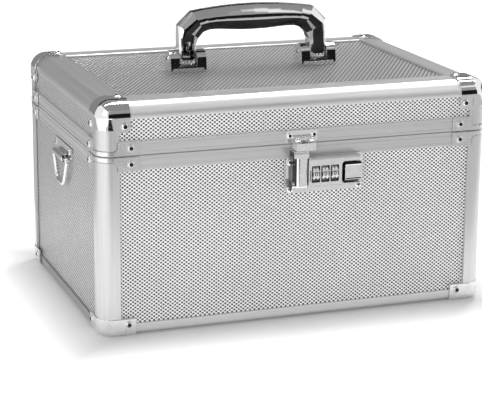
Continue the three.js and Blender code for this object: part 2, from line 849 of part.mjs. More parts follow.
function handleBracket(centreX) {
  const foot = topPanelTop + fit;
  const left = centreX - clevisWidth / 2;
  const right = centreX + clevisWidth / 2;
  const earOutline = [
    [clevisDepth / 2, foot],
    [clevisEarRadius, handleAxisZ],
    ...arcPoints(0, handleAxisZ, clevisEarRadius, 0, Math.PI, 8).slice(1, -1),
    [-clevisEarRadius, handleAxisZ],
    [-clevisDepth / 2, foot],
  ];
  return joined(
    block(left, right, -clevisDepth / 2, clevisDepth / 2, foot, foot + clevisBase),
    drawnAlongX(earOutline, left, left + earThickness),
    drawnAlongX(earOutline, right - earThickness, right),
    barAlongX(clevisPinRadius, left + clevisPinInset, right - clevisPinInset, 0, handleAxisZ),
  );
}

[
  ['left', -handlePivotX],
  ['right', handlePivotX],
].forEach(([side, x]) => addPiece(`handle_bracket_${side}`, handleBracket(x), 'chrome'));

// Handle: a faceted arch whose legs end in round tongues on the bracket pins
function handleSolid() {
  const half = handleWidth / 2;
  const legOuter = handlePivotX + handleLegThickness / 2;
  const legInner = handlePivotX - handleLegThickness / 2;
  const at = (rise) => handleAxisZ + rise;
  const tongue = clevisEarRadius - fit;
  const innerX = legInner - handleInnerRound;
  const innerZ = at(handleUnderRise - handleInnerRound);
  const crownPoints = [];
  const crownHalf = half - handleChamfer;
  const shoulderTop = handleShoulderRise + handleChamfer;
  const crownSteps = 12;
  for (let i = 0; i <= crownSteps; i += 1) {
    const x = crownHalf - (2 * crownHalf * i) / crownSteps;
    const bow = 1 - (x / crownHalf) ** 2;
    crownPoints.push([x, at(shoulderTop + (handleRise - shoulderTop) * bow)]);
  }
  const outline = [
    [legOuter, at(-tongue)],
    [legOuter, at(tongue)],
    [half, at(handleShoulderRise)],
    ...crownPoints,
    [-half, at(handleShoulderRise)],
    [-legOuter, at(tongue)],
    [-legOuter, at(-tongue)],
    [-legInner, at(-tongue)],
    ...arcPoints(-innerX, innerZ, handleInnerRound, Math.PI, Math.PI / 2),
    ...arcPoints(innerX, innerZ, handleInnerRound, Math.PI / 2, 0),
    [legInner, at(-tongue)],
  ];
  const arch = raised(outline, -handleGripDepth / 2, handleGripDepth / 2);
  arch.rotateX(Math.PI / 2);
  // Seen from the end, the grip is an eight-sided bar on two narrower legs with round feet
  const gripHalf = handleGripDepth / 2;
  const legHalf = handleLegDepth / 2;
  const facetLow = at(handleRise) - handleFacetDrop;
  const facetHigh = facetLow + handleFacetRise;
  const side = [
    ...arcPoints(0, handleAxisZ, tongue, Math.PI, 2 * Math.PI, 8),
    [legHalf, at(tongue)],
    [legHalf, at(handleUnderRise - handleEdgeChamfer)],
    [gripHalf, at(handleUnderRise + handleEdgeChamfer)],
    [gripHalf, facetLow],
    [gripHalf - handleFacetAcross, facetHigh],
    [-gripHalf + handleFacetAcross, facetHigh],
    [-gripHalf, facetLow],
    [-gripHalf, at(handleUnderRise + handleEdgeChamfer)],
    [-legHalf, at(handleUnderRise - handleEdgeChamfer)],
    [-legHalf, at(tongue)],
  ];
  const envelope = drawnAlongX(side, -half - past, half + past);
  return cut(
    kept(arch, envelope),
    barAlongX(clevisPinRadius + fit, -half - past, half + past, 0, handleAxisZ),
  );
}

addPiece('handle', handleSolid(), 'chrome');

// Lock housing: a screwed flange with a raised body, windows for the dials and a bay for the arm
const flangeFrontY = -(halfDepth + fit + lockFlange);
const flangeBackY = -(panelFaceY + fit);
const flangeStepZ = baseRimBottom - fit;
const armLeft = armCentre - armWidth / 2;
const armRight = armCentre + armWidth / 2;
const lugRight = armLeft - fit;
const lugLeft = lugRight - armLugWidth;

function lockHousing() {
  const flange = joined(
    block(lockLeft, lockRight, flangeFrontY, flangeBackY, lockBottom, flangeStepZ),
    block(lockLeft, lockRight, flangeFrontY, -(halfDepth + fit), flangeStepZ - past, lockTop),
  );
  const bodySide = [
    [flangeFrontY + lap, lockBodyBottom],
    [lockFrontY + lockChamfer, lockBodyBottom],
    [lockFrontY, lockBodyBottom + lockChamfer],
    [lockFrontY, lockTop - lockChamfer],
    [lockFrontY + lockChamfer, lockTop],
    [flangeFrontY + lap, lockTop],
  ];
  const body = drawnAlongX(bodySide.reverse(), lockBodyLeft, lockBodyRight);
  const lugSide = [
    [flangeFrontY + lap, armPivotHeight - armBarrelRadius],
    ...arcPoints(armPivotY, armPivotHeight, armBarrelRadius, down, -1.5 * Math.PI, 8),
    [flangeFrontY + lap, armPivotHeight + armBarrelRadius],
  ];
  const lug = drawnAlongX(lugSide.reverse(), lugLeft, lugRight);
  const recessHalf = buttonRecessHeight / 2;
  const recess = block(
    buttonRecessLeft,
    lockRight + past,
    lockFrontY - past,
    flangeFrontY,
    dialHeight - recessHalf,
    dialHeight + recessHalf,
  );
  const windows = [];
  const windowReach = dialWidth / 2 + windowSideClearance;
  const windowLow = dialHeight - windowHeight / 2;
  const windowTop = dialHeight + windowHeight / 2;
  for (let i = 0; i < dialCount; i += 1) {
    const x = dialFirst + i * dialPitch;
    windows.push(
      block(x - windowReach, x + windowReach, lockFrontY - past, dialAxisY, windowLow, windowTop),
    );
  }
  const pinBore = barAlongX(
    armPinRadius + fit,
    lugLeft - past,
    lockRoom.left + fit,
    armPivotY,
    armPivotHeight,
    12,
  );
  const spindleBore = barAlongX(
    spindleRadius + fit,
    lockBodyLeft - past,
    buttonRecessLeft + past,
    dialAxisY,
    dialHeight,
  );
  const screws = [lockLeft + lockScrewInset, lockRight - lockScrewInset].flatMap((x) =>
    [lockBottom + lockScrewRise, lockTop - lockScrewDrop].map((z) =>
      fastenerHead(lockScrewRadius, lockScrewHeight, [x, flangeFrontY, z], [0, -1, 0]),
    ),
  );
  const hollowed = cut(
    joined(flange, body, lug),
    lockRoomCutter(lockFrontY + lockWall, flangeBackY + past),
    recess,
    buttonSlotCutter(flangeFrontY - past, flangeBackY + past),
    ...windows,
    pinBore,
    spindleBore,
  );
  return joined(hollowed, ...screws);
}

addPiece('lock_housing', lockHousing(), 'chrome');

// Lock back plate: it clamps the housing from inside the front panel
const backPlateFront = -(halfDepth - panelInner - fit);
addPiece(
  'lock_back_plate',
  block(
    lockRoom.left - backPlateMargin,
    buttonSlot.right + backPlateMargin,
    backPlateFront,
    backPlateFront + lockBackThickness,
    lockRoom.bottom - backPlateMargin,
    baseRimBottom - fit,
  ),
  'steel',
);

// Dials on their spindle
addPiece(
  'dial_spindle',
  barAlongX(spindleRadius, lockBodyLeft + fit, buttonRecessLeft - fit, dialAxisY, dialHeight),
  'steel',
);

function dialSolid(centreX) {
  const left = centreX - dialWidth / 2;
  const right = centreX + dialWidth / 2;
  const rimLeft = left + dialShoulder;
  const rimRight = right - dialShoulder;
  const drum = joined(
    barAlongX(dialRadius, rimLeft, rimRight, dialAxisY, dialHeight, dialSides),
    barAlongX(dialRadius - dialShoulder, left, right, dialAxisY, dialHeight, dialSides),
  );
  return cut(drum, barAlongX(spindleRadius + fit, left - past, right + past, dialAxisY, dialHeight));
}

for (let i = 0; i < dialCount; i += 1) {
  addPiece(`dial_${i + 1}`, dialSolid(dialFirst + i * dialPitch), 'steel');
}

// Slide button: a block in the recess with a stem that works the bolt behind the flange
const buttonFrontY = lockFrontY - buttonProud;
const buttonBackY = flangeFrontY - lockScrewHeight - fit;
const buttonSide = [
  [buttonBackY, dialHeight - buttonHeight / 2],
  [buttonFrontY + buttonEdge, dialHeight - buttonHeight / 2],
  [buttonFrontY, dialHeight - buttonHeight / 2 + buttonEdge],
  [buttonFrontY, dialHeight + buttonHeight / 2 - buttonEdge],
  [buttonFrontY + buttonEdge, dialHeight + buttonHeight / 2],
  [buttonBackY, dialHeight + buttonHeight / 2],
];
const stemLeft = buttonLeft + (buttonWidth - buttonStemWidth) / 2;
addPiece(
  'slide_button',
  joined(
    drawnAlongX(buttonSide.reverse(), buttonLeft, buttonLeft + buttonWidth),
    block(
      stemLeft,
      stemLeft + buttonStemWidth,
      buttonBackY - past,
      backPlateFront - fit,
      dialHeight - buttonStemHeight / 2,
      dialHeight + buttonStemHeight / 2,
    ),
  ),
  'chrome',
);

// Latch arm: a ridged lever on pins low in the housing, with a head under the strike's hood
const hoodBottom = lidRimTop - strikeHoodDrop;
const armTopZ = hoodBottom - armClearance;
const armFrontY = -(halfDepth + armRidgeReach);

function latchArm() {
  const headBottom = armTopZ - armHeadDrop;
  const ridge = raised(
    roundedOutline([
      [armRight, armBackY],
      [armRight, armFrontY, armRidgeRound],
      [armLeft, armFrontY, armRidgeRound],
      [armLeft, armBackY],
    ]),
    armPivotHeight,
    headBottom + lap,
  );
  const headLeft = armRight - armHeadWidth;
  const headFront = armFrontY - armHeadProud;
  const headSide = [
    [armBackY, headBottom],
    [headFront, headBottom],
    [headFront, armTopZ - armHeadChamfer],
    [headFront + armHeadChamfer, armTopZ],
    [armBackY, armTopZ],
  ];
  const heel = barAlongX(armBarrelRadius, armLeft, armRight, armPivotY, armPivotHeight, 20);
  const pins = barAlongX(
    armPinRadius,
    lugLeft + fit,
    lockBodyLeft + lockWall,
    armPivotY,
    armPivotHeight,
    12,
  );
  return joined(ridge, drawnAlongX(headSide.reverse(), headLeft, armRight), heel, pins);
}

addPiece('latch_arm', latchArm(), 'chrome');

// Strike plate: riveted on the lid rim, with a hood that comes down over the latch arm's head
function strikePlate() {
  const faceY = -(halfDepth + fit);
  const frontY = faceY - strikeWall;
  const left = strikeCentre - strikeWidth / 2;
  const right = strikeCentre + strikeWidth / 2;
  const top = lidRimTop - fit;
  const flangeBottom = top - strikeFlangeHeight;
  const hoodFront = -(halfDepth + strikeHoodReach);
  const hoodTop = lidRimTop - strikeHoodTopDrop;
  const stepY = frontY - strikeStepReach;
  const stepZ = hoodTop - strikeStepDrop;
  const roofZ = stepZ - strikeRoofDrop;
  const wall = strikeWall;
  const outer = [
    [frontY + wall, hoodTop],
    [stepY + wall, hoodTop - strikeTopFall],
    [stepY, stepZ],
    [hoodFront + wall, stepZ - strikeStepFall],
    [hoodFront, stepZ - strikeNoseDrop],
    [hoodFront, hoodBottom],
    [frontY + wall, hoodBottom],
  ];
  const inner = [
    [faceY + past, flangeBottom - past],
    [faceY + past, hoodBottom - past],
    [hoodFront + wall, hoodBottom - past],
    [hoodFront + wall, roofZ - strikeRoofFall],
    [frontY, roofZ],
    [frontY, flangeBottom - past],
  ];
  const hoodLeft = strikeCentre - strikeHoodWidth / 2;
  const hoodRight = strikeCentre + strikeHoodWidth / 2;
  const hood = cut(
    drawnAlongX(outer, hoodLeft, hoodRight),
    drawnAlongX(inner, hoodLeft + wall, hoodRight - wall),
    block(
      strikeCentre - strikeSlotWidth / 2,
      strikeCentre + strikeSlotWidth / 2,
      hoodFront - past,
      stepY + wall,
      stepZ - wall,
      stepZ + past,
    ),
    block(hoodLeft - past, hoodRight + past, frontY, 0, hoodBottom - past, flangeBottom),
  );
  const rivets = [left + strikeRivetInset, right - strikeRivetInset].map((x) =>
    fastenerHead(strikeRivetRadius, rivetHeight, [x, frontY, top - strikeRivetDrop], [0, -1, 0]),
  );
  return joined(block(left, right, frontY, faceY, flangeBottom, top), hood, ...rivets);
}

addPiece('strike_plate', strikePlate(), 'chrome');

// Strap ring brackets and their rings, one on each side
function ringBracket() {
  const back = panelFaceX + fit;
  const front = back + ringBracketThickness;
  const halfSpan = ringBracketWidth / 2;
  const top = baseRimBottom - ringBracketTopDrop;
  const plate = block(back, front, -halfSpan, halfSpan, top - ringBracketHeight, top);
  const sleeve = new THREE.CylinderGeometry(ringSleeveRadius, ringSleeveRadius, ringSleeveWidth, 20);
  sleeve.translate(ringAxisX, 0, ringAxisZ);
  const bore = new THREE.CylinderGeometry(
    ringWireRadius + ringSleeveClearance,
    ringWireRadius + ringSleeveClearance,
    ringBracketWidth,
    16,
  );
  bore.translate(ringAxisX, 0, ringAxisZ);
  const screwZ = top - ringScrewDrop;
  const screws = [-1, 1].map((side) =>
    fastenerHead(rivetRadius, rivetHeight, [front, side * (halfSpan - ringScrewInset), screwZ], [1, 0, 0]),
  );
  return joined(cut(joined(plate, sleeve), bore), ...screws);
}

function strapRing() {
  const half = ringWidth / 2;
  const low = ringBottomWidth / 2;
  const path = roundedOutline([
    [half, 0, ringTopRound],
    [low, -ringDrop, ringFootRound],
    [-low, -ringDrop, ringFootRound],
    [-half, 0, ringTopRound],
  ]);
  const sides = 10;
  const rows = path.map(([y, z], i) => {
    const [beforeY, beforeZ] = path[(i + path.length - 1) % path.length];
    const [afterY, afterZ] = path[(i + 1) % path.length];
    const along = new THREE.Vector2(afterY - y, afterZ - z).normalize();
    const into = new THREE.Vector2(y - beforeY, z - beforeZ).normalize();
    const outward = new THREE.Vector2(along.y + into.y, -(along.x + into.x)).normalize();
    const stretch = 1 / Math.sqrt((1 + along.dot(into)) / 2);
    return Array.from({ length: sides }, (_, k) => {
      const angle = (2 * Math.PI * k) / sides;
      const reach = ringWireRadius * Math.cos(angle) * stretch;
      return [
        ringAxisX + ringWireRadius * Math.sin(angle),
        y + outward.x * reach,
        ringAxisZ + z + outward.y * reach,
      ];
    });
  });
  const { positions, indices } = skinnedRows(rows, true);
  return facingOut(positions, indices);
}

[
  ['left', -1],
  ['right', 1],
].forEach(([side, x]) => {
  addPiece(`strap_ring_bracket_${side}`, mirrored(ringBracket(), x, 1), 'chrome');
  addPiece(`strap_ring_${side}`, mirrored(strapRing(), x, 1), 'chrome');
});

// The footprint's middle, lock and hinges included, lies on the origin
lockBox.position.y = centreShift;

export default lockBox;
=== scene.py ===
import math

import bmesh
import bpy
from mathutils import Matrix, Vector


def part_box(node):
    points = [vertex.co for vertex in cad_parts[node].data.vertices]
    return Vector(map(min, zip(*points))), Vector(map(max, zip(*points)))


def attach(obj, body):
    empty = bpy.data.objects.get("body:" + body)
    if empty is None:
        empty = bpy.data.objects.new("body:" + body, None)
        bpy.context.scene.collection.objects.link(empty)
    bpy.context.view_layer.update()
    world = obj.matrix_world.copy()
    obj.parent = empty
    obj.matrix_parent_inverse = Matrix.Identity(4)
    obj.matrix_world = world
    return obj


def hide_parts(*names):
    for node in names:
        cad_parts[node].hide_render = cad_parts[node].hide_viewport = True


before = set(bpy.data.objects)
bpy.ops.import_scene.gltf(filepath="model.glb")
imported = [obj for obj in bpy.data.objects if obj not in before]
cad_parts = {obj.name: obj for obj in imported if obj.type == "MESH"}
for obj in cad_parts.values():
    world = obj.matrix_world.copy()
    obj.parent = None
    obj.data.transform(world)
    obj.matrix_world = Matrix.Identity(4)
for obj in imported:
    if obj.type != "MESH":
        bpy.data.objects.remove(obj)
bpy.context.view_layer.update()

# The studio. A white floor runs out of sight under a white sky, and soft lamps stand above it,
# with glowing cards round the set that only polished metal shows, painted reflections placed as a
# photographer places cards.
scene = bpy.context.scene
scene.view_settings.view_transform = "Standard"


def linked(name, data):
    """An object in the scene that shows a mesh, a curve, a lamp or the camera."""
    thing = bpy.data.objects.new(name, data)
    scene.collection.objects.link(thing)
    return thing


def mesh_object(name, bm):
    """An object in the scene made from a bmesh, which it uses up."""
    mesh = bpy.data.meshes.new(name)
    bm.to_mesh(mesh)
    bm.free()
    return linked(name, mesh)


def turned(bm, angle, axis):
    """A bmesh turned about an axis."""
    bmesh.ops.rotate(bm, matrix=Matrix.Rotation(angle, 3, axis), verts=bm.verts)
    return bm


camera_place = (-0.46071, -1.25621, 0.42727)
camera_turn, camera_tilt, camera_roll = 0.3457, 0.2652, 0.0086
lens = bpy.data.cameras.new("camera")
lens.lens = 131.8
lens.sensor_width = 36.0
lens.clip_end = 50.0
camera = linked("camera", lens)
camera.matrix_world = (
    Matrix.Translation(camera_place)
    @ Matrix.Rotation(-camera_turn, 4, "Z")
    @ Matrix.Rotation(math.pi / 2 - camera_tilt, 4, "X")
    @ Matrix.Rotation(camera_roll, 4, "Z")
)
scene.camera = camera


class Wire:
    """A socket among a finish's nodes. Sums and products written with it add Math nodes."""

    def __init__(self, finish, socket):
        self.finish = finish
        self.socket = socket

    def __add__(self, other):
        return self.finish.maths("ADD", self, other)

    def __sub__(self, other):
        return self.finish.maths("SUBTRACT", self, other)

    def __rsub__(self, other):
        return self.finish.maths("SUBTRACT", other, self)

    def __mul__(self, other):
        return self.finish.maths("MULTIPLY", self, other)

    __radd__ = __add__
    __rmul__ = __mul__


class Finish:
    """The nodes of a material or the sky: constants on its shader, and patterns wired to it."""

    def __init__(self, name, constants, kind=bpy.data.materials, shader="Principled BSDF"):
        self.data = kind.new(name)
        self.data.use_nodes = True
        self.tree = self.data.node_tree
        self.shader = self.tree.nodes[shader]
        for socket, value in constants.items():
            self.shader.inputs[socket].default_value = value

    def node(self, kind, settings, inputs, output=0):
        made = self.tree.nodes.new(kind)
        for setting, value in settings.items():
            if setting == "stops":
                ramp = made.color_ramp
                while len(ramp.elements) < len(value):
                    ramp.elements.new(0.5)
                for element, (place, shade) in zip(ramp.elements, value):
                    element.position = place
                    element.color = (shade, shade, shade, 1.0)
            else:
                setattr(made, setting, value)
        for place, value in inputs.items():
            if isinstance(value, Wire):
                self.tree.links.new(value.socket, made.inputs[place])
            else:
                made.inputs[place].default_value = value
        return Wire(self, made.outputs[output])

    def maths(self, operation, first, second=0.0):
        return self.node("ShaderNodeMath", {"operation": operation}, {0: first, 1: second})

    def place(self):
        return self.node("ShaderNodeTexCoord", {}, {}, "Object")

    def axis(self, letter):
        return self.node("ShaderNodeSeparateXYZ", {}, {0: self.place()}, letter)

    def cloud(self, scale, detail):
        inputs = {"Vector": self.place(), "Scale": scale, "Detail": detail}
        return self.node("ShaderNodeTexNoise", {}, inputs)

    def ramp(self, value, *stops):
        return self.node("ShaderNodeValToRGB", {"stops": stops}, {0: value})

    def ranged(self, value, low, high, start=0.0, end=1.0):
        """The value's range from start to end, carried over to one from low to high."""
        return self.node("ShaderNodeMapRange", {}, {0: value, 1: start, 2: end, 3: low, 4: high})

    def bump(self, height, strength, distance, invert=False):
        inputs = {"Strength": strength, "Distance": distance, "Height": height}
        return self.node("ShaderNodeBump", {"invert": invert}, inputs)

    def rays(self, *kinds):
        """1 for light paths of the given kinds."""
        return sum(self.node("ShaderNodeLightPath", {}, {}, f"Is {kind} Ray") for kind in kinds)

    def wire(self, socket, value):
        self.tree.links.new(value.socket, self.shader.inputs[socket])


# The floor is seen white by the camera and in metal, except close round the box, where the
# glow fades out over a band so that only the lamps reach it: a painted shade that deepens its shadow.
pale = (0.88, 0.88, 0.88, 1.0)
sweep = Finish(
    "white_sweep",
    {"Base Color": pale, "Roughness": 0.9, "Specular IOR Level": 0.0, "Emission Strength": 1.0},
)
shade_half_x, shade_half_y, shade_middle_y = 0.141, 0.105, 0.0027
shade_fade = 0.05
floor_glow = 0.6
beside_x = sweep.maths("ABSOLUTE", sweep.axis("X")) - shade_half_x
beside_y = sweep.maths("ABSOLUTE", sweep.axis("Y") - shade_middle_y) - shade_half_y
away = sweep.ranged(sweep.maths("MAXIMUM", beside_x, beside_y), 0.0, 1.0, 0.0, shade_fade)
glow = sweep.maths("POWER", away, 1.2) * floor_glow * sweep.rays("Camera", "Glossy")
sweep.wire("Emission Color", sweep.node("ShaderNodeCombineColor", {}, {0: glow, 1: glow, 2: glow}))
floor_bm = bmesh.new()
bmesh.ops.create_grid(floor_bm, x_segments=1, y_segments=1, size=6.0)
floor = mesh_object("floor", floor_bm)
floor.data.materials.append(sweep.data)

sky = Finish("studio", {"Color": (1.0, 1.0, 1.0, 1.0)}, bpy.data.worlds, "Background")
scene.world = sky.data
sky_level = 0.42
sky.wire("Strength", sky.ranged(sky.rays("Camera", "Glossy", "Transmission"), sky_level, 1.0))


def soft_lamp(name, place, aim, wide, high, watts, spin=0.0, hidden=""):
    """A rectangular lamp that points at a place. One kind of ray may be kept from seeing it."""
    light = bpy.data.lights.new(name, "AREA")
    light.shape = "RECTANGLE"
    light.size, light.size_y = wide, high
    light.energy = watts
    lamp = linked(name, light)
    lamp.location = place
    facing = (Vector(aim) - Vector(place)).to_track_quat("-Z", "Y").to_matrix()
    lamp.rotation_euler = (facing @ Matrix.Rotation(math.radians(spin), 3, "Z")).to_euler()
    if hidden:
        setattr(lamp, f"visible_{hidden}", False)


soft_lamp("strip", (0.66, 0.62, 1.6), (0.5, 0.4, 0.0), 0.22, 1.7, 12.5, -9.0)
soft_lamp("rail_strip", (0.25, 0.06, 1.7), (0.25, 0.0, 0.0), 0.06, 2.3, 13.0, 90.0, "diffuse")
soft_lamp("front_left", (-1.3, -1.0, 0.9), (0.0, 0.0, 0.1), 0.8, 1.0, 1.6)
soft_lamp("front_fill", (-0.9, -2.1, 0.42), (0.0, 0.0, 0.1), 1.4, 0.5, 29.0, 0.0, "glossy")


def card(name, turn, shade, wide, near_edge, far_edge):
    """A glowing card, a painted reflection that only polished metal sees. Turned by 0 degrees it is in front
    of the box.

    Each edge is given as its distance away and its height."""
    (near, low), (far, high), half = near_edge, far_edge, wide / 2
    corners = [(-half, -near, low), (half, -near, low), (half, -far, high), (-half, -far, high)]
    bm = bmesh.new()
    bm.faces.new([bm.verts.new(corner) for corner in corners])
    turned(bm, math.radians(turn), "Z")
    shining = {"Emission Color": (shade, shade, shade, 1.0), "Emission Strength": 1.0}
    card_glow = Finish(name, {"Base Color": (0.0, 0.0, 0.0, 1.0), "Specular IOR Level": 0.0, **shining})
    placed = mesh_object(name, bm)
    placed.data.materials.append(card_glow.data)
    for ray in ("camera", "diffuse", "shadow", "transmission", "volume_scatter"):
        setattr(placed, f"visible_{ray}", False)


card("front_card", 8.0, 0.01, 3.4, (2.4, 0.0), (2.4, 1.1))
card("right_card", 100.0, 0.02, 1.4, (2.4, 0.0), (2.4, 0.8))
card("back_low_card", 180.0, 0.26, 4.0, (1.7, 0.0), (1.7, 1.25))
card("back_high_card", 180.0, 0.01, 3.4, (1.7, 1.25), (1.7, 2.2))
card("ceiling_card", 0.0, 0.3, 3.4, (-1.65, 2.3), (2.4, 2.3))
card("floor_card", 24.0, 0.56, 1.7, (0.3, 0.002), (2.3, 0.002))
card("floor_back_card", -158.0, 0.5, 1.5, (0.3, 0.002), (2.0, 0.002))
card("floor_dark_card", -21.0, 0.02, 0.36, (0.5, 0.004), (1.6, 0.004))
card("wedge_card", 40.0, 1.0, 1.1, (2.1, 2.28), (3.1, 2.28))
card("front_high_card", 8.0, 0.36, 3.4, (2.4, 1.1), (2.4, 2.3))

# The boards. Thin fibreboard faced with aluminium foil, embossed all over with staggered
# dimples, each painted dark as shade in its hollow, and held by its edges in the channels of the frame.
dimple_across = 0.0035
dimple_up = 0.00275
flat_dimple = 0.0056


def dimpled_board(name, across, up, rise, polish):
    """The foil's dimples, painted dark as shade, on a board whose face runs along two of the axes. Sizes are
    in metres.
    """
    finish = Finish(name, {"Metallic": 0.3})
    columns = finish.maths("COSINE", finish.axis(across) * (2 * math.pi / dimple_across))
    rows = finish.maths("COSINE", finish.axis(up) * (2 * math.pi / rise))
    wave = columns * rows
    # Painted shade: the dimples' hollows are coloured dark.
    dimple_shade = finish.ramp(wave * 0.5 + 0.5, (0.0, 1.0), (0.46, 0.97), (0.56, 0.5), (0.7, 0.04))
    shade = finish.ranged(finish.cloud(18.0, 2.0), 0.93, 1.04)
    multiply = {"data_type": "RGBA", "blend_type": "MULTIPLY"}
    finish.wire("Base Color", finish.node("ShaderNodeMix", multiply, {0: 1.0, 6: dimple_shade, 7: shade}, 2))
    finish.wire("Roughness", finish.ranged(wave, polish, polish + 0.2, -1.0, 1.0))
    finish.wire("Normal", finish.bump(wave, 0.55, 0.0006, invert=True))
    return finish


def dress(nodes, finish):
    """Gives CAD nodes their finish."""
    for node in nodes:
        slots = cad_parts[node].data.materials
        slots.clear()
        slots.append(finish.data)


front_board = dimpled_board("dimpled_board_front", "X", "Z", dimple_up, 0.26)
side_board = dimpled_board("dimpled_board_side", "Y", "Z", dimple_up, 0.26)
flat_board = dimpled_board("dimpled_board_flat", "X", "Y", flat_dimple, 0.12)
for half in ("base", "lid"):
    dress([f"{half}_front_panel", f"{half}_back_panel"], front_board)
    dress([f"{half}_left_panel", f"{half}_right_panel"], side_board)
dress(["lid_top_panel", "bottom_panel"], flat_board)

# The frame's rails. Extruded aluminium, satin brushed along its length, bent or mitred round the
# corners: a bottom rail, the two rims that meet at the split, and the broad rounded top rail.
# From here on the sizes of pieces are in millimetres from the middle of the case.
rail_low, rail_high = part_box("lid_top_frame")
half_width = (rail_high.x - rail_low.x) * 500.0
half_depth = (rail_high.y - rail_low.y) * 500.0
middle_y = (rail_high.y + rail_low.y) / 2.0
edge_round = 11.0
corner_segments = 10


def heights(node):
    """A CAD node's lowest and highest points, in millimetres."""
    return [corner.z * 1000.0 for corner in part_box(node)]


def brushed(name, along, shade, shine):
    """Brushed aluminium whose fine scratches run along one axis."""
    finish = Finish(name, {"Metallic": 0.72})

    def streaks(across, length, detail, roughness):
        scale = [across] * 3
        scale["XYZ".index(along)] = length
        stretched = finish.node("ShaderNodeMapping", {}, {"Vector": finish.place(), "Scale": scale})
        inputs = {"Vector": stretched, "Scale": 1.0, "Detail": detail, "Roughness": roughness}
        return finish.node("ShaderNodeTexNoise", {}, inputs)

    grain = streaks(900.0, 9.0, 3.0, 0.6) * 0.6 + streaks(120.0, 3.0, 2.0, 0.5) * 0.4
    stops = [(0.25, shade * 0.86), (0.5, shade), (0.75, min(1.0, shade * 1.1))]
    finish.wire("Base Color", finish.ramp(grain, *stops))
    finish.wire("Roughness", finish.ranged(grain, shine, shine + 0.12, 0.3, 0.7))
    finish.wire("Normal", finish.bump(grain, 0.12, 0.0002))
    return finish


brushed_x = brushed("brushed_aluminium_x", "X", 0.7, 0.28)
brushed_y = brushed("brushed_aluminium_y", "Y", 0.74, 0.28)
brushed_z = brushed("brushed_aluminium_z", "Z", 0.66, 0.28)
# Two copies painted for light: a lighter one, a painted highlight on the top rail's front and back, and a
# darker one, painted shade on the bottom rail's sides.
painted_highlight_x = brushed("painted_highlight_aluminium_x", "X", 0.97, 0.26)
shaded_y = brushed("shaded_aluminium_y", "Y", 0.42, 0.28)


def rounded(bm, geom, radius, segments, affect, clamp=False):
    """Rounds edges or corners of a bmesh."""
    bmesh.ops.bevel(
        bm, geom=geom, offset=radius, offset_type="OFFSET", segments=segments, profile=0.5,
        affect=affect, clamp_overlap=clamp, material=-1,
    )


def case_loop(bm, inset, z):
    """The case's outline as a loop of edges, at a distance in from its sides."""
    before = set(bm.faces)
    reach = Matrix.Diagonal((half_width - inset, half_depth - inset, 1.0, 1.0))
    shape = Matrix.Translation((0.0, 0.0, z)) @ reach
    made = bmesh.ops.create_grid(bm, x_segments=1, y_segments=1, size=1.0, matrix=shape)
    rounded(bm, made["verts"], max(edge_round - inset, 0.4), corner_segments, "VERTICES")
    face = [f for f in bm.faces if f not in before][0]
    edges = list(face.edges)
    bmesh.ops.delete(bm, geom=[face], context="FACES_ONLY")
    return edges


def drawn_loops(bm, section):
    """Draws the case's outline on from one (inset, height) point to the next."""
    edges = case_loop(bm, *section[0])
    here = section[0][0]
    for inset, z in section[1:]:
        drawn = bmesh.ops.extrude_edge_only(bm, edges=edges)["geom"]
        verts = {v for v in drawn if isinstance(v, bmesh.types.BMVert)}
        edges = [e for e in drawn if isinstance(e, bmesh.types.BMEdge) and set(e.verts) <= verts]
        old_round, new_round = max(edge_round - here, 0.4), max(edge_round - inset, 0.4)
        for v in verts:
            side_x, side_y = math.copysign(1, v.co.x), math.copysign(1, v.co.y)
            turn_x = (abs(v.co.x) - (half_width - here - old_round)) * new_round / old_round
            turn_y = (abs(v.co.y) - (half_depth - here - old_round)) * new_round / old_round
            v.co.x = side_x * (half_width - inset - new_round + turn_x)
            v.co.y = side_y * (half_depth - inset - new_round + turn_y)
            v.co.z = z
        here = inset


def closed(bm):
    """A bmesh with its seams and poles closed and its faces outwards."""
    bmesh.ops.remove_doubles(bm, verts=bm.verts, dist=0.002)
    bmesh.ops.recalc_face_normals(bm, faces=bm.faces)
    return bm


def moved(bm, x, y, z):
    """A bmesh moved by a distance."""
    bmesh.ops.translate(bm, vec=(x, y, z), verts=bm.verts)
    return bm


def scaled(bm, x, y, z):
    """A bmesh scaled from the middle of the case."""
    bmesh.ops.scale(bm, vec=(x, y, z), verts=bm.verts)
    return bm


def hoop(section):
    """A closed section of (inset, height) points carried right round the case."""
    bm = bmesh.new()
    drawn_loops(bm, section + section[:1])
    return closed(bm)


def arc(centre_a, centre_b, radius, start, end, count):
    """Points along an arc, angles in degrees."""
    turns = [math.radians(start + (end - start) * i / count) for i in range(count + 1)]
    return [(centre_a + radius * math.cos(t), centre_b + radius * math.sin(t)) for t in turns]


def made_piece(bm, name, finishes, body, node, smooth=32.0, bevel=0.0, choose=None):
    """Makes a mesh in millimetres a piece that stands for a node, with its place in its mesh."""
    moved(scaled(closed(bm), 0.001, 0.001, 0.001), 0.0, middle_y, 0.0)
    if choose:
        for face in bm.faces:
            face.material_index = choose(face)
    piece = mesh_object(name, bm)
    piece.data.shade_smooth()
    piece.data.set_sharp_from_angle(angle=math.radians(smooth))
    for finish in finishes:
        piece.data.materials.append(finish.data)
    if bevel:
        edges = piece.modifiers.new("edges", "BEVEL")
        edges.width = bevel * 0.001
        edges.segments = 2
        edges.limit_method = "ANGLE"
        edges.angle_limit = math.radians(28.0)
        edges.harden_normals = True
    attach(piece, body)
    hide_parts(node)
    return piece


def middle_of(face):
    """A finished face's middle, in millimetres from the case's centre."""
    return face.calc_center_median() * 1000.0 - Vector((0.0, middle_y * 1000.0, 0.0))


def rail_side(face):
    """0 on the rail's long runs across the front and back, 1 on the runs along the sides."""
    middle = middle_of(face)
    return 1 if half_width - abs(middle.x) < half_depth - abs(middle.y) else 0


def made_rail(section, name, finishes, body, node):
    """A rail of the frame, with a finish for its long runs and one for its sides."""
    made_piece(hoop(section), name, finishes, body, node, choose=rail_side)


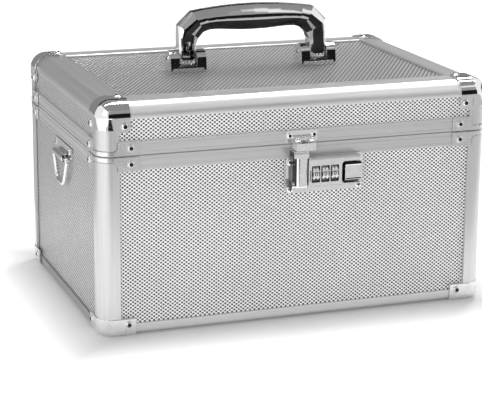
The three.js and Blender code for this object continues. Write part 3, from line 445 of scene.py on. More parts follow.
rail_foot, rail_top = heights("bottom_frame")
rail_wall, rail_flange, rail_sheet, rail_round = 6.9, 14.5, 1.3, 3.0
bottom_section = [(0.0, rail_top - 0.4), (0.4, rail_top), (rail_wall, rail_top)]
flange_top = rail_foot + rail_sheet
bottom_section += [(rail_wall, flange_top), (rail_flange, flange_top), (rail_flange, rail_foot)]
bottom_section += arc(rail_round, rail_foot + rail_round, rail_round, -90.0, -180.0, 6)
# The bottom rail's sides are painted darker as shade.
made_rail(bottom_section, "bottom_rail", [brushed_x, shaded_y], "base", "bottom_frame")

rib_depth = 0.3
rim_edge = 0.35
rim_wall = 7.2


def ribbed_face(low, high, ribs):
    """A rim's outer face from its foot up, with shallow ribs rolled along it."""
    points = [(rim_edge, low), (0.0, low + rim_edge)]
    for z in ribs:
        points += [(0.0, z - 0.3), (rib_depth, z - 0.1), (rib_depth, z + 0.1), (0.0, z + 0.3)]
    return points + [(0.0, high - rim_edge), (rim_edge, high)]


base_rim_foot, base_rim_top = heights("base_rim")
lid_rim_foot, lid_rim_top = heights("lid_rim")
split_z = lid_rim_foot - 0.3
tongue_out, tongue_edge = 5.9, 0.3
lower_section = ribbed_face(base_rim_foot, split_z, [base_rim_foot + 2.4, split_z - 2.6])
lower_section += [(tongue_out, split_z), (tongue_out, base_rim_top - tongue_edge)]
lower_section += [(tongue_out + tongue_edge, base_rim_top), (rim_wall - tongue_edge, base_rim_top)]
lower_section += [(rim_wall, base_rim_top - tongue_edge), (rim_wall, base_rim_foot)]
made_rail(lower_section, "lower_rim", [brushed_x, brushed_y], "base", "base_rim")

groove_out, groove_top = 5.4, split_z + 3.8
upper_section = ribbed_face(lid_rim_foot, lid_rim_top, [lid_rim_foot + 2.6, lid_rim_top - 2.4])
upper_section += [(rim_wall, lid_rim_top), (rim_wall, groove_top)]
upper_section += [(groove_out, groove_top), (groove_out, lid_rim_foot)]
made_rail(upper_section, "upper_rim", [brushed_x, brushed_y], "lid", "lid_rim")

top_rail_foot, case_height = heights("lid_top_frame")
top_lip, top_wall = 24.4, 12.0
top_section = [(rim_edge, top_rail_foot), (0.0, top_rail_foot + rim_edge)]
top_section += arc(edge_round, case_height - edge_round, edge_round, 180.0, 90.0, 12)
top_section += [(top_lip - 0.5, case_height), (top_lip, case_height - 0.5), (top_lip, case_height - 1.3)]
top_section += [(top_wall, case_height - 1.3), (top_wall, case_height - 6.0)]
top_section += [(rim_wall, case_height - rim_wall), (rim_wall, top_rail_foot)]
# The top rail's front and back runs are painted lighter as a highlight.
made_rail(top_section, "top_rail", [painted_highlight_x, brushed_y], "lid", "lid_top_frame")

# The corner posts. Rounded aluminium angles brushed up and down, which run from corner cap to
# rim, and whose narrowed feet lap over the rims between the arms of the rim brackets.
corners = {"back_right": (1, 1), "back_left": (-1, 1), "front_left": (-1, -1), "front_right": (1, -1)}
post_face = 14.5
post_proud = 0.9
post_inner = 1.2
foot_face = 12.4
foot_lap = 6.2
foot_round = 3.0
foot_clear = 0.35


def box_solid(x0, x1, y0, y1, z0, z1):
    """A closed block between two corners."""
    bm = bmesh.new()
    bmesh.ops.create_cube(bm, size=1.0)
    scaled(bm, abs(x1 - x0), abs(y1 - y0), abs(z1 - z0))
    return moved(bm, (x0 + x1) / 2, (y0 + y1) / 2, (z0 + z1) / 2)


def corner_block(reach, low, high):
    """A block over the back right corner, from a distance in from both its sides outwards."""
    return box_solid(half_width - reach, half_width + 5.0, half_depth - reach, half_depth + 5.0, low, high)


def band(outer, inner, low, high):
    """A band right round the case, between two distances proud of it."""
    return hoop([(-outer, low), (-outer, high), (-inner, high), (-inner, low)])


def rounded_edges(bm, wanted, radius, segments=5):
    """Rounds the edges that a test picks by their two ends."""
    picked = [e for e in bm.edges if wanted(e.verts[0].co, e.verts[1].co)]
    rounded(bm, picked, radius, segments, "EDGES", clamp=True)
    return bm


def carved(bm, tools, operation="DIFFERENCE"):
    """The solid with each tool cut out of it, joined to it, or kept in common with it."""
    solids = [mesh_object("carving", solid) for solid in (bm, *tools)]
    for tool in solids[1:]:
        step = solids[0].modifiers.new("step", "BOOLEAN")
        step.operation = operation
        step.solver = "EXACT"
        step.object = tool
    shaped = solids[0].evaluated_get(bpy.context.evaluated_depsgraph_get())
    result = bmesh.new()
    result.from_mesh(shaped.to_mesh())
    for used in solids:
        mesh = used.data
        bpy.data.objects.remove(used)
        bpy.data.meshes.remove(mesh)
    bmesh.ops.remove_doubles(result, verts=result.verts, dist=0.003)
    flat = math.radians(0.6)
    bmesh.ops.dissolve_limit(result, angle_limit=flat, verts=result.verts, edges=result.edges)
    return result


def turned_to(bm, x, y):
    """The back right corner's solid as it stands at another corner."""
    return closed(scaled(bm.copy(), x, y, 1.0))


def at_corners(bm, name, finishes, body, node, bevel):
    """The back right corner's solid as a piece at each of the four corners."""
    for corner, (x, y) in corners.items():
        placed = turned_to(bm, x, y)
        made_piece(placed, f"{name}_{corner}", finishes, body, f"{node}_{corner}", bevel=bevel)


def foot_form(clearance, near, far):
    """The narrowed foot: two sides deep into the corner, with its free corners rounded."""
    low_x = half_width - foot_face - clearance
    low_y = half_depth - foot_face - clearance

    def at_end(a, b):
        level_edge = abs(a.z - near) < 0.01 and abs(b.z - near) < 0.01
        return level_edge and (max(a.x, b.x) < low_x + 0.01 or max(a.y, b.y) < low_y + 0.01)

    return rounded_edges(corner_block(foot_face + clearance, near, far), at_end, foot_round)


def post_solid(foot_end, rim_line, far_end):
    """One post: its broad part from the rim's edge on, and its foot lapped over the rim."""
    low, high = min(foot_end, far_end), max(foot_end, far_end)
    broad = corner_block(post_face, rim_line, far_end)
    broad = carved(band(post_proud, -post_inner, low, high), [broad], "INTERSECT")
    foot = foot_form(0.0, foot_end, rim_line + (0.5 if far_end > foot_end else -0.5))
    skin = band(post_proud + 1, foot_clear, low - 1, high + 1)
    foot = carved(foot, [skin, band(post_proud, -post_inner, low, high)], "INTERSECT")
    return carved(broad, [foot], "UNION")


upper_post = post_solid(lid_rim_top - foot_lap, lid_rim_top + 0.2, top_rail_foot + 0.4)
lower_post = post_solid(base_rim_foot + foot_lap, base_rim_foot - 0.2, rail_top - 0.4)
at_corners(upper_post, "upper_post", [brushed_z], "lid", "lid_post", 0.25)
at_corners(lower_post, "lower_post", [brushed_z], "base", "base_post", 0.25)

# The rim brackets. Pressed steel straps bent round each corner of the two rims, notched for the
# posts' feet, each fixed by a domed rivet through either arm.
bracket_arm = 28.5
bracket_proud, bracket_inner = 1.3, 0.3
bracket_rivet_in = 22.5


def clouded_metal(name, metallic, grain, detail, shades, roughness, relief=0.0):
    """Polished or plated metal, faintly clouded. Shades and roughness run from low to high."""
    finish = Finish(name, {"Metallic": metallic})
    cloud = finish.cloud(grain, detail)
    finish.wire("Base Color", finish.ramp(cloud, *shades))
    finish.wire("Roughness", finish.ranged(cloud, *roughness))
    if relief:
        finish.wire("Normal", finish.bump(cloud, relief, 0.0003))
    return finish


steel = clouded_metal("pressed_steel", 0.92, 160.0, 3.0, [(0.3, 0.74), (0.7, 0.83)], (0.23, 0.32), 0.04)
# Near-black metal that paints shade in hollows and recesses and a dark reflection on chosen faces.
painted_shade_and_reflection = clouded_metal("painted_shade_and_reflection", 1.0, 60.0, 2.0, [(0.3, 0.035), (0.7, 0.06)], (0.12, 0.2))


def spun(profile):
    """A closed solid turned from (radius, height) points that start and end on the axis."""
    bm = bmesh.new()
    line = [bm.verts.new((r, 0.0, h)) for r, h in profile]
    edges = [bm.edges.new(pair) for pair in zip(line, line[1:])]
    bmesh.ops.spin(
        bm, geom=line + edges, cent=(0, 0, 0), axis=(0, 0, 1), angle=2 * math.pi, steps=20,
        use_merge=True, use_duplicate=False,
    )
    return closed(bm)


def set_head(bm, hollow_reach, hollow_floor, at, toward):
    """Paints a fixing's hollow dark as shade and puts its head in place, facing along a direction."""
    for face in bm.faces:
        middle = face.calc_center_median()
        inside = middle.xy.length < hollow_reach
        face.material_index = 1 if inside and (abs(face.normal.z) < 0.3 or middle.z < hollow_floor) else 0
    turn = Vector((0, 0, 1)).rotation_difference(Vector(toward)).to_matrix()
    bmesh.ops.rotate(bm, matrix=turn, verts=bm.verts)
    return moved(bm, *at)


def rivet(radius, rise, at, toward):
    """A domed blind rivet on a thin rolled flange, with the pulled pin's hollow in its middle."""
    profile = [(0.0, -0.5), (radius * 1.3, -0.5), (radius * 1.3, 0.12), (radius * 1.2, 0.26), (radius, 0.2)]
    profile += [(radius * math.cos(t), 0.2 + (rise - 0.2) * math.sin(t)) for t in (0.3, 0.6, 0.84)]
    profile += [(radius * 0.63, rise * 0.93), (radius * 0.62, rise * 0.3), (0.0, rise * 0.3)]
    return set_head(spun(profile), radius * 0.64, rise * 0.4, at, toward)


def arm_rivets(radius, rise, inward, proud, height):
    """A rivet through each of the back right corner's two arms."""
    return (
        rivet(radius, rise, (half_width - inward, half_depth + proud, height), (0, 1, 0)),
        rivet(radius, rise, (half_width + proud, half_depth - inward, height), (1, 0, 0)),
    )


def gathered(*parts):
    """Several closed solids as one mesh."""
    bm = bmesh.new()
    for part in parts:
        mesh = bpy.data.meshes.new("gather")
        part.to_mesh(mesh)
        part.free()
        bm.from_mesh(mesh)
        bpy.data.meshes.remove(mesh)
    return bm


def rim_bracket(low, high, notch_end, notch_open):
    """The strap with its notch, and a rivet in each arm at mid height."""
    strap = band(bracket_proud, bracket_inner, low, high)
    strap = carved(strap, [corner_block(bracket_arm, low - 1, high + 1)], "INTERSECT")
    strap = carved(strap, [foot_form(0.4, notch_end, notch_open)])
    return gathered(strap, *arm_rivets(2.3, 1.2, bracket_rivet_in, bracket_proud, (low + high) / 2))


upper_notch, lower_notch = lid_rim_top - foot_lap - 0.4, base_rim_foot + foot_lap + 0.4
upper_bracket = rim_bracket(lid_rim_foot + 0.4, lid_rim_top + 0.6, upper_notch, lid_rim_top + 3.0)
lower_bracket = rim_bracket(base_rim_foot - 0.6, split_z - 0.4, lower_notch, base_rim_foot - 3.0)
riveted = [steel, painted_shade_and_reflection]
at_corners(upper_bracket, "upper_bracket", riveted, "lid", "lid_rim_corner", 0.22)
at_corners(lower_bracket, "lower_bracket", riveted, "base", "base_rim_corner", 0.22)

# The bottom corner caps. Pressed steel cups over the bottom rail's corners, with a low foot under
# the edge that the box stands on, and a rivet near the end of each arm.
cap_arm, cap_top = 25.5, 13.4
cap_proud, cap_sheet = 1.5, 1.2
cap_bend_in, cap_bend_up = 3.0, 4.5
cap_foot_reach = 8.0
cap_rivet_in, cap_rivet_up = 20.0, 8.9
cap_section = arc(cap_bend_in, cap_bend_up, cap_bend_up, -90.0, -180.0, 8)
cap_section += [(-cap_proud, cap_top - 0.3), (0.3 - cap_proud, cap_top), (cap_sheet - cap_proud, cap_top)]
cap_section += arc(cap_bend_in, cap_bend_up, cap_bend_up - cap_sheet, -180.0, -90.0, 8)
cap_section += [(cap_foot_reach, cap_sheet), (cap_foot_reach, 0.0)]
bottom_cap = gathered(
    carved(hoop(cap_section), [corner_block(cap_arm, -1.0, cap_top + 1.0)], "INTERSECT"),
    *arm_rivets(2.4, 1.3, cap_rivet_in, cap_proud, cap_rivet_up),
)
at_corners(bottom_cap, "bottom_cap", riveted, "base", "bottom_corner", 0.22)

# The ball corners of the lid. Chromed castings whose three arms lie over the edges and meet in a
# ball, with a riveted ear in each crook.
ball_arm, ball_reach, ball_middle = 22.5, 12.0, 12.6
ball_drop, ball_proud, ball_inner = 19.3, 1.5, 0.3
ear_drop, ear_round, ear_proud = 21.2, 4.0, 1.1
ear_rivet_in, ear_rivet_drop = 18.4, 16.6
chrome = clouded_metal("bright_chrome", 1.0, 45.0, 2.0, [(0.35, 0.80), (0.65, 0.86)], (0.05, 0.12))


def lid_form(offset):
    """The lid's rounded outer form, swollen by an offset, as a closed solid."""
    bm = bmesh.new()
    over_edge = arc(edge_round, case_height - edge_round, edge_round + offset, 180.0, 90.0, 10)
    drawn_loops(bm, [(-offset, split_z)] + over_edge)
    bmesh.ops.holes_fill(bm, edges=[e for e in bm.edges if e.is_boundary], sides=0)
    return closed(bm)


def ear(x0, x1, y0, y1, z0, z1, across):
    """A flat ear with its free corner rounded. Across is the axis through its thickness."""
    sides = [(axis, edge) for axis, edge in enumerate((x0, y0, z0)) if axis != across]

    def free_corner(a, b):
        at_sides = all(max(a[axis], b[axis]) < edge + 0.01 for axis, edge in sides)
        return at_sides and abs(a[across] - b[across]) > 0.1

    return rounded_edges(box_solid(x0, x1, y0, y1, z0, z1), free_corner, ear_round)


far_x, far_y, far_z = half_width + 13.0, half_depth + 13.0, case_height + 13.0
arm_x, arm_y, arm_foot = half_width - ball_arm, half_depth - ball_arm, top_rail_foot - 0.6
middle_x, middle_far_y = half_width - ball_middle, half_depth - ball_middle
ball_arms = carved(
    box_solid(arm_x, far_x, half_depth - ball_reach, far_y, arm_foot, far_z),
    [
        box_solid(half_width - ball_reach, far_x, arm_y, far_y, arm_foot, far_z),
        box_solid(middle_x, far_x, middle_far_y, far_y, case_height - ball_drop, far_z),
    ],
    "UNION",
)
ball_shell = carved(carved(lid_form(ball_proud), [lid_form(ball_inner)]), [ball_arms], "INTERSECT")
crook_x, crook_y = half_width - ball_reach + 0.4, half_depth - ball_reach + 0.4
ear_foot, ear_top = case_height - ear_drop, arm_foot + 1.0
top_rivet = (half_width - ear_rivet_in, half_depth - ear_rivet_in, case_height + ear_proud)
ball_corner = gathered(
    ball_shell,
    ear(arm_x, crook_x, half_depth - 0.9, half_depth + ear_proud, ear_foot, ear_top, 1),
    ear(half_width - 0.9, half_width + ear_proud, arm_y, crook_y, ear_foot, ear_top, 0),
    ear(arm_x, crook_x, arm_y, crook_y, case_height + 0.1, case_height + ear_proud, 2),
    *arm_rivets(2.4, 1.3, ear_rivet_in, ear_proud, case_height - ear_rivet_drop),
    rivet(2.4, 1.3, top_rivet, (0, 0, 1)),
)
chromed = [chrome, painted_shade_and_reflection]
at_corners(ball_corner, "ball_corner", chromed, "lid", "lid_corner_cap", 0.3)

# The hinges. Two butt hinges on the back: a leaf of pressed steel on each rim, rolled round a pin
# that the base leaf's outer knuckles hold, and fixed by countersunk screws.
hinge_centre, hinge_half = 90.0, 22.0
knuckle_end, knuckle_gap = 12.0, 0.15
barrel_round, bore_round, pin_round = 3.0, 1.6, 1.3
leaf_in, leaf_out = half_depth + 0.3, half_depth + 1.5
leaf_start, leaf_reach, leaf_round = 3.45, 9.0, 1.8
hinge_y = leaf_in + barrel_round
hinge_z = split_z + 0.15


def round_bar(axis, radius, low, high, at_a, at_b, sides=28):
    """A round bar along X or Y, the axis 0 or 1. The place gives the two axes that follow it."""
    bm = bmesh.new()
    size = {"segments": sides, "radius1": radius, "radius2": radius, "depth": high - low}
    bmesh.ops.create_cone(bm, cap_ends=True, **size)
    middle = (low + high) / 2
    place = (middle, at_a, at_b) if axis == 0 else (at_b, middle, at_a)
    return moved(turned(bm, math.pi / 2, "YX"[axis]), *place)


def screw(radius, rise, at, toward):
    """A domed screw head with a cross recess."""
    profile = [(0.0, -0.5), (radius, -0.5), (radius, 0.15)]
    profile += [(radius * math.cos(t), 0.15 + (rise - 0.15) * math.sin(t)) for t in (0.3, 0.65, 1.0, 1.3)]
    half, reach, floor_z = radius * 0.2, radius * 0.66, rise * 0.35
    cross = [
        box_solid(-reach, reach, -half, half, floor_z, rise + 1),
        box_solid(-half, half, -reach, reach, floor_z, rise + 1),
    ]
    head = carved(spun(profile + [(0.0, rise)]), cross)
    return set_head(head, reach * 1.01, rise * 0.4, at, toward)


def hinge_leaf(centre, upward):
    """One leaf with its knuckles. The base leaf also has the pin, which shows at both ends."""
    sign = 1 if upward else -1
    left, right = centre - hinge_half, centre + hinge_half
    inner = knuckle_end + sign * knuckle_gap
    spans = [(left + inner, right - inner)] if upward else [(left, left + inner), (right - inner, right)]
    near, far = hinge_z + sign * leaf_start, hinge_z + sign * leaf_reach

    def far_corner(a, b):
        return abs(a.y - b.y) > 0.1 and abs(a.z - far) < 0.01 and abs(b.z - far) < 0.01

    plate = rounded_edges(box_solid(left, right, leaf_in, leaf_out, near, far), far_corner, leaf_round)
    knuckles = []
    for start, end in spans:
        knuckles.append(box_solid(start, end, leaf_in, leaf_out, hinge_z, near + sign * 0.3))
        knuckles.append(round_bar(0, barrel_round, start, end, hinge_y, hinge_z))
    leaf = carved(plate, knuckles, "UNION")
    if upward:
        parts = [carved(leaf, [round_bar(0, bore_round, left - 1, right + 1, hinge_y, hinge_z)])]
    else:
        parts = [leaf, round_bar(0, pin_round, left - 0.4, right + 0.4, hinge_y, hinge_z)]
    for x in (left + 8.0, right - 8.0):
        parts.append(screw(1.9, 0.7, (x, leaf_out, (near + far) / 2), (0, 1, 0)))
    return gathered(*parts)


for hand, centre in (("left", -hinge_centre), ("right", hinge_centre)):
    for level, body in (("lower", "base"), ("upper", "lid")):
        leaf = hinge_leaf(centre, body == "lid")
        name, node = f"hinge_{level}_leaf_{hand}", f"hinge_{body}_leaf_{hand}"
        made_piece(leaf, name, riveted, body, node, bevel=0.18)

# The handle's brackets. Chromed castings riveted through the top board, each a foot with two
# round-topped ears, a pin between them and a low bar across the front and the back.
bracket_foot, bracket_top = heights("handle_bracket_left")
bracket_half, bracket_deep, bracket_sheet = 14.2, 8.5, 1.8
bar_out, bar_in, bar_up = 8.4, 7.0, 3.4
clevis_half = 6.6
pivot_x, pivot_z = 53.0, bracket_top - clevis_half
leg_thick = 13.2
clevis_thick = (2 * bracket_half - leg_thick) / 2 - 0.3
pivot_pin = 2.4


def clevis_ear(low, high):
    """A thick ear, wider at its foot, with a round top."""
    bm = box_solid(low, high, -clevis_half, clevis_half, bracket_foot, pivot_z + clevis_half)
    for v in bm.verts:
        if v.co.z < bracket_foot + 0.01:
            v.co.y *= bracket_deep / clevis_half

    def top_corner(a, b):
        return abs(a.x - b.x) > 1 and min(a.z, b.z) > pivot_z + clevis_half - 0.1

    return rounded_edges(bm, top_corner, 6.3, 8)


for hand, centre in (("left", -pivot_x), ("right", pivot_x)):
    left, right = centre - bracket_half, centre + bracket_half
    foot_top, bar_top = bracket_foot + bracket_sheet, bracket_foot + bar_up
    bracket = carved(
        box_solid(left, right, -bracket_deep, bracket_deep, bracket_foot, foot_top),
        [
            clevis_ear(left, left + clevis_thick),
            clevis_ear(right - clevis_thick, right),
            box_solid(left + 2, right - 2, -bar_out, -bar_in, bracket_foot, bar_top),
            box_solid(left + 2, right - 2, bar_in, bar_out, bracket_foot, bar_top),
        ],
        "UNION",
    )
    clevis = gathered(
        bracket,
        round_bar(0, pivot_pin, left + 1, right - 1, 0.0, pivot_z),
        rivet(2.0, 0.9, (left, 0.0, pivot_z), (-1, 0, 0)),
        rivet(2.0, 0.9, (right, 0.0, pivot_z), (1, 0, 0)),
    )
    name, node = f"handle_clevis_{hand}", f"handle_bracket_{hand}"
    made_piece(clevis, name, chromed, "lid", node, bevel=0.7)

# The handle. A chromed casting: a bowed grip with a flat top, chamfered edges and a full belly,
# sloping shoulders, and two legs whose rounded feet turn on the pins. The belly's underside and
# the legs' flat fronts are painted dark, as a painted dark reflection.
stations = [
    # outer rise and half span, inner rise and half span, half depth, how far from leg to grip
    (-6.2, 59.6, -6.2, 46.4, 1.6, 0.0),
    (-5.2, 59.6, -5.2, 46.4, 3.5, 0.0),
    (-3.4, 59.6, -3.4, 46.4, 5.2, 0.0),
    (0.0, 59.6, 0.0, 46.4, 6.2, 0.0),
    (7.0, 59.6, 6.0, 46.4, 6.2, 0.0),
    (17.0, 59.8, 10.9, 46.0, 6.5, 0.15),
    (25.5, 60.0, 15.2, 44.2, 7.2, 0.5),
    (36.0, 49.5, 19.6, 39.6, 7.9, 0.9),
    (37.3, 41.0, 21.2, 34.5, 8.0, 1.0),
    (38.3, 32.0, 21.4, 28.5, 8.0, 1.0),
    (39.2, 22.0, 20.9, 20.5, 8.0, 1.0),
    (39.8, 11.0, 20.2, 10.5, 8.0, 1.0),
    (40.0, 0.0, 20.0, 0.0, 8.0, 1.0),
]
section_corners = [
    # how far a corner lies from the outer to the inner side, and its width: on a leg, on the grip
    ((0.0, 0.7), (0.0, 0.12)),
    ((0.1, 0.96), (0.04, 0.46)),
    ((0.17, 1.0), (0.35, 0.94)),
    ((0.4, 1.0), (0.42, 1.0)),
    ((0.62, 1.0), (0.6, 0.98)),
    ((0.84, 1.0), (0.67, 0.87)),
    ((0.93, 0.95), (0.86, 0.6)),
    ((1.0, 0.76), (1.0, 0.25)),
]


def grip_ring(station, hand):
    """The sixteen corners of the handle's section at a station."""
    outer_rise, outer_x, inner_rise, inner_x, deep, grip = station
    outer = Vector((outer_x * hand, 0.0, pivot_z + outer_rise))
    inner = Vector((inner_x * hand, 0.0, pivot_z + inner_rise))
    half = []
    for (leg_along, leg_wide), (grip_along, grip_wide) in section_corners:
        place = outer.lerp(inner, leg_along + (grip_along - leg_along) * grip)
        half.append((place, deep * (leg_wide + (grip_wide - leg_wide) * grip)))
    front = [place - Vector((0.0, reach, 0.0)) for place, reach in half]
    back = [place + Vector((0.0, reach, 0.0)) for place, reach in reversed(half)]
    return front + back


def lofted(rings):
    """A closed skin drawn on from one ring of points to the next."""
    bm = bmesh.new()
    face = bm.faces.new([bm.verts.new(place) for place in rings[0]])
    for before, ring in zip(rings, rings[1:]):
        drawn = bmesh.ops.extrude_face_region(bm, geom=[face])["geom"]
        fresh = [v for v in drawn if isinstance(v, bmesh.types.BMVert)]
        face = [f for f in drawn if isinstance(f, bmesh.types.BMFace)][0]
        pairs = [(min(fresh, key=lambda v: (v.co - old).length), new) for old, new in zip(before, ring)]
        for v, new in pairs:
            v.co = new
    return closed(bm)


def dark_plating(face):
    """1 on the grip's belly and on the flat fronts of the legs, which are painted dark as a dark reflection.
    """
    middle, across = middle_of(face), abs(face.normal.y)
    on_grip = abs(middle.x) < 47.0 and middle.z > pivot_z + 9.0
    on_leg = abs(middle.x) > 46.5 and middle.z < pivot_z + 27.0 and middle.y < 4.5
    belly = on_grip and face.normal.z < -0.25 and across < 0.9
    return 1 if belly or (on_leg and across > 0.96) else 0


left_rings = [grip_ring(station, -1) for station in stations]
right_rings = [grip_ring(station, 1) for station in reversed(stations[:-1])]
pad_half, pad_in, pad_out = 4.3, 5.6, 6.75
pad_low, pad_high = pivot_z - 1.0, pivot_z + 13.5
pads = []
for centre in (-pivot_x, pivot_x):
    left, right = centre - pad_half, centre + pad_half
    for front in (-1, 1):
        pad = box_solid(left, right, front * pad_in, front * pad_out, pad_low, pad_high)
        pad = rounded_edges(pad, lambda a, b: abs(a.y - b.y) > 0.1 and min(a.z, b.z) > pad_high - 0.1, 3.9, 6)
        pads.append(pad)
handle = carved(lofted(left_rings + right_rings), pads, "UNION")
handle = carved(handle, [round_bar(0, pivot_pin + 0.3, -70, 70, 0.0, pivot_z)])
made_piece(
    handle, "carrying_handle", chromed, "handle", "handle",
    smooth=34.0, bevel=0.35, choose=dark_plating,
)

# The lock's housing. A chromed casting screwed to the front board at its four corners: a flange,
# a raised body with a window for each dial and a bay for the button, and a lug for the latch arm.
satin = clouded_metal("satin_chrome", 0.86, 260.0, 3.0, [(0.3, 0.9), (0.7, 0.97)], (0.12, 0.18))
satin_chromed = [satin, painted_shade_and_reflection]
board_y = -half_depth
flange_y = board_y - 1.5
flange_back = board_y + 1.3
lock_front = board_y - 10.5
lock_left, lock_right = -11.3, 49.3
lock_low, lock_high = 96.6, 123.5
body_left, body_right, body_low = 3.0, 43.4, 101.6
dial_round, dial_wide, dial_places = 7.2, 5.8, (8.5, 15.85, 23.2)
dial_y, dial_z = lock_front - 1.2 + dial_round, 111.6
window_half_x, window_half_z = 3.25, 6.2
bay_left, bay_half = 28.9, 8.2
room_left, room_right, room_half = body_left + 1.4, bay_left - 1.4, 7.7
arm_left, arm_right = -6.7, 2.5
arm_axis_y, arm_axis_z, arm_heel = flange_y - 4.0, 103.4, 3.1
lug_left, lug_right = arm_left - 2.3, arm_left - 0.3


def prism(points, low, high):
    """An outline of (y, z) points drawn out along X."""
    bm = bmesh.new()
    face = bm.faces.new([bm.verts.new((low, y, z)) for y, z in points])
    drawn = bmesh.ops.extrude_face_region(bm, geom=[face])["geom"]
    fresh = [v for v in drawn if isinstance(v, bmesh.types.BMVert)]
    bmesh.ops.translate(bm, vec=(high - low, 0.0, 0.0), verts=fresh)
    return closed(bm)


def through_board(a, b):
    """Picks the edges that run straight in towards the board."""
    return abs(a.y - b.y) > 0.1


flange = box_solid(lock_left, lock_right, flange_y, board_y - 0.3, lock_low, lock_high)
rounded_edges(flange, through_board, 2.4)
body_section = [(flange_y + 0.5, body_low - 0.8), (flange_y, body_low - 0.8), (lock_front + 2.2, body_low)]
body_section += [(lock_front, body_low + 1.6), (lock_front, lock_high - 1.2)]
body_section += [(lock_front + 1.2, lock_high), (flange_y + 0.5, lock_high)]
lug_section = [(flange_y + 0.5, arm_axis_z - arm_heel), (arm_axis_y, arm_axis_z - arm_heel)]
lug_section += arc(arm_axis_y, arm_axis_z, arm_heel, -112.5, -247.5, 6)
lug_section += [(arm_axis_y, arm_axis_z + arm_heel), (flange_y + 0.5, arm_axis_z + arm_heel)]
housing = carved(
    flange,
    [
        prism(body_section, body_left, body_right),
        prism(lug_section, lug_left, lug_right),
        box_solid(lock_left + 2, lock_right - 2, board_y - 0.6, flange_back, lock_low + 2, lock_high - 1.4),
    ],
    "UNION",
)
bay = box_solid(bay_left, lock_right + 3, lock_front - 1, flange_y, dial_z - bay_half, dial_z + bay_half)
bay = rounded_edges(bay, lambda a, b: through_board(a, b) and max(a.x, b.x) < bay_left + 0.1, 2.6)
room_low, room_high = dial_z - room_half, dial_z + room_half
room = box_solid(room_left, room_right, lock_front + 1.4, flange_back + 1, room_low, room_high)
slit_left, slit_right, slit_low, slit_high = body_left + 0.9, body_left + 1.6, dial_z - 5.0, dial_z + 3.0
sight_slit = box_solid(slit_left, slit_right, lock_front - 1, lock_front + 0.8, slit_low, slit_high)
openings = [room, bay, sight_slit]
for x in dial_places:
    low, high = dial_z - window_half_z, dial_z + window_half_z
    window = box_solid(x - window_half_x, x + window_half_x, lock_front - 1, dial_y, low, high)
    openings.append(rounded_edges(window, through_board, 0.6, 2))
stem_slot = box_solid(34.3, 44.3, flange_y - 1, flange_back + 1, dial_z - 3.0, dial_z + 3.0)
openings.append(stem_slot)
lock_screws = [
    screw(2.3, 0.9, (x, flange_y, z), (0, -1, 0))
    for x in (lock_left + 3.4, lock_right - 3.4)
    for z in (lock_low + 2.6, lock_high - 4.2)
]


def shaded_inside(face):
    """1 on the walls of the windows and the bay, and beside the latch arm, which are painted dark as shade.
    """
    middle = middle_of(face)
    within = body_left + 1.2 < middle.x < body_right - 0.3 and abs(middle.z - dial_z) < bay_half + 0.1
    deep = middle.y > lock_front + 0.3 and abs(face.normal.y) < 0.5
    beside_arm = face.normal.x < -0.9 and lock_left + 0.5 < middle.x < arm_left
    return 1 if (within and deep) or beside_arm else face.material_index


housing = gathered(carved(housing, openings), *lock_screws)
made_piece(
    housing, "lock_case", satin_chromed, "base", "lock_housing", bevel=0.3, choose=shaded_inside
)

# The lock's inside. A back plate that clamps the housing to the board, and the spindle that the
# dials turn on. Both are plain turned or pressed steel, and show only through gaps.
dress(["lock_back_plate", "dial_spindle"], steel)

# The dials. Three ten-sided wheels of plated brass, with the digits 0 to 9 filled with dark enamel,
# one on each flat, and dark rims. They turn on the spindle behind the windows.
enamel = Finish("dark_enamel", {"Roughness": 0.35})
enamel.wire("Base Color", enamel.ramp(enamel.cloud(900.0, 2.0), (0.3, 0.012), (0.7, 0.04)))
dial_flat = dial_round * math.cos(math.pi / 10)
dial_rim, dial_bore = 0.7, 1.9
digit_size, digit_shrink, digit_half_thick, digit_swell = 5.2, 0.82, 0.1, 0.06


def meshed(curve):
    """A text or wire curve as a mesh."""
    holder = linked("curve", curve)
    bm = bmesh.new()
    bm.from_mesh(holder.evaluated_get(bpy.context.evaluated_depsgraph_get()).to_mesh())
    bpy.data.objects.remove(holder)
    return bm


def digit_on_flat(digit, centre_x):
    """One digit on its flat of the wheel. The 0 faces the front."""
    curve = bpy.data.curves.new(f"digit_{digit}", "FONT")
    curve.body = str(digit)
    curve.size = digit_size
    curve.extrude = digit_half_thick
    curve.offset = digit_swell
    curve.align_x, curve.align_y = "CENTER", "CENTER"
    standing = turned(scaled(meshed(curve), digit_shrink, digit_shrink, 1.0), math.pi / 2, "X")
    in_front = moved(standing, 0.0, -dial_flat - 0.02, 0.0)
    return moved(turned(in_front, -digit * math.pi / 5, "X"), centre_x, 0.0, 0.0)


def dial(centre_x):
    """A wheel with its digits."""
    left, right = centre_x - dial_wide / 2, centre_x + dial_wide / 2
    wheel = turned(round_bar(0, dial_round, left, right, 0.0, 0.0, 10), math.pi / 10, "X")
    rims = [
        round_bar(0, dial_round - 0.1, left, left + dial_rim, 0.0, 0.0, 30),
        round_bar(0, dial_round - 0.1, right - dial_rim, right, 0.0, 0.0, 30),
    ]
    wheel = carved(wheel, rims, "UNION")
    wheel = carved(wheel, [round_bar(0, dial_bore, centre_x - 4, centre_x + 4, 0.0, 0.0, 20)])
    metal_faces = len(wheel.faces)
    both = gathered(wheel, *(digit_on_flat(digit, centre_x) for digit in range(10)))
    for face in both.faces:
        on_rim = abs(face.calc_center_median().x - centre_x) > dial_wide / 2 - dial_rim - 0.02
        face.material_index = 1 if on_rim or face.index >= metal_faces else 0
    return moved(both, 0.0, dial_y, dial_z)


for number, x in enumerate(dial_places, 1):
    node = f"dial_{number}"
    made_piece(dial(x), f"digit_wheel_{number}", [satin, enamel], node, node, smooth=25.0)

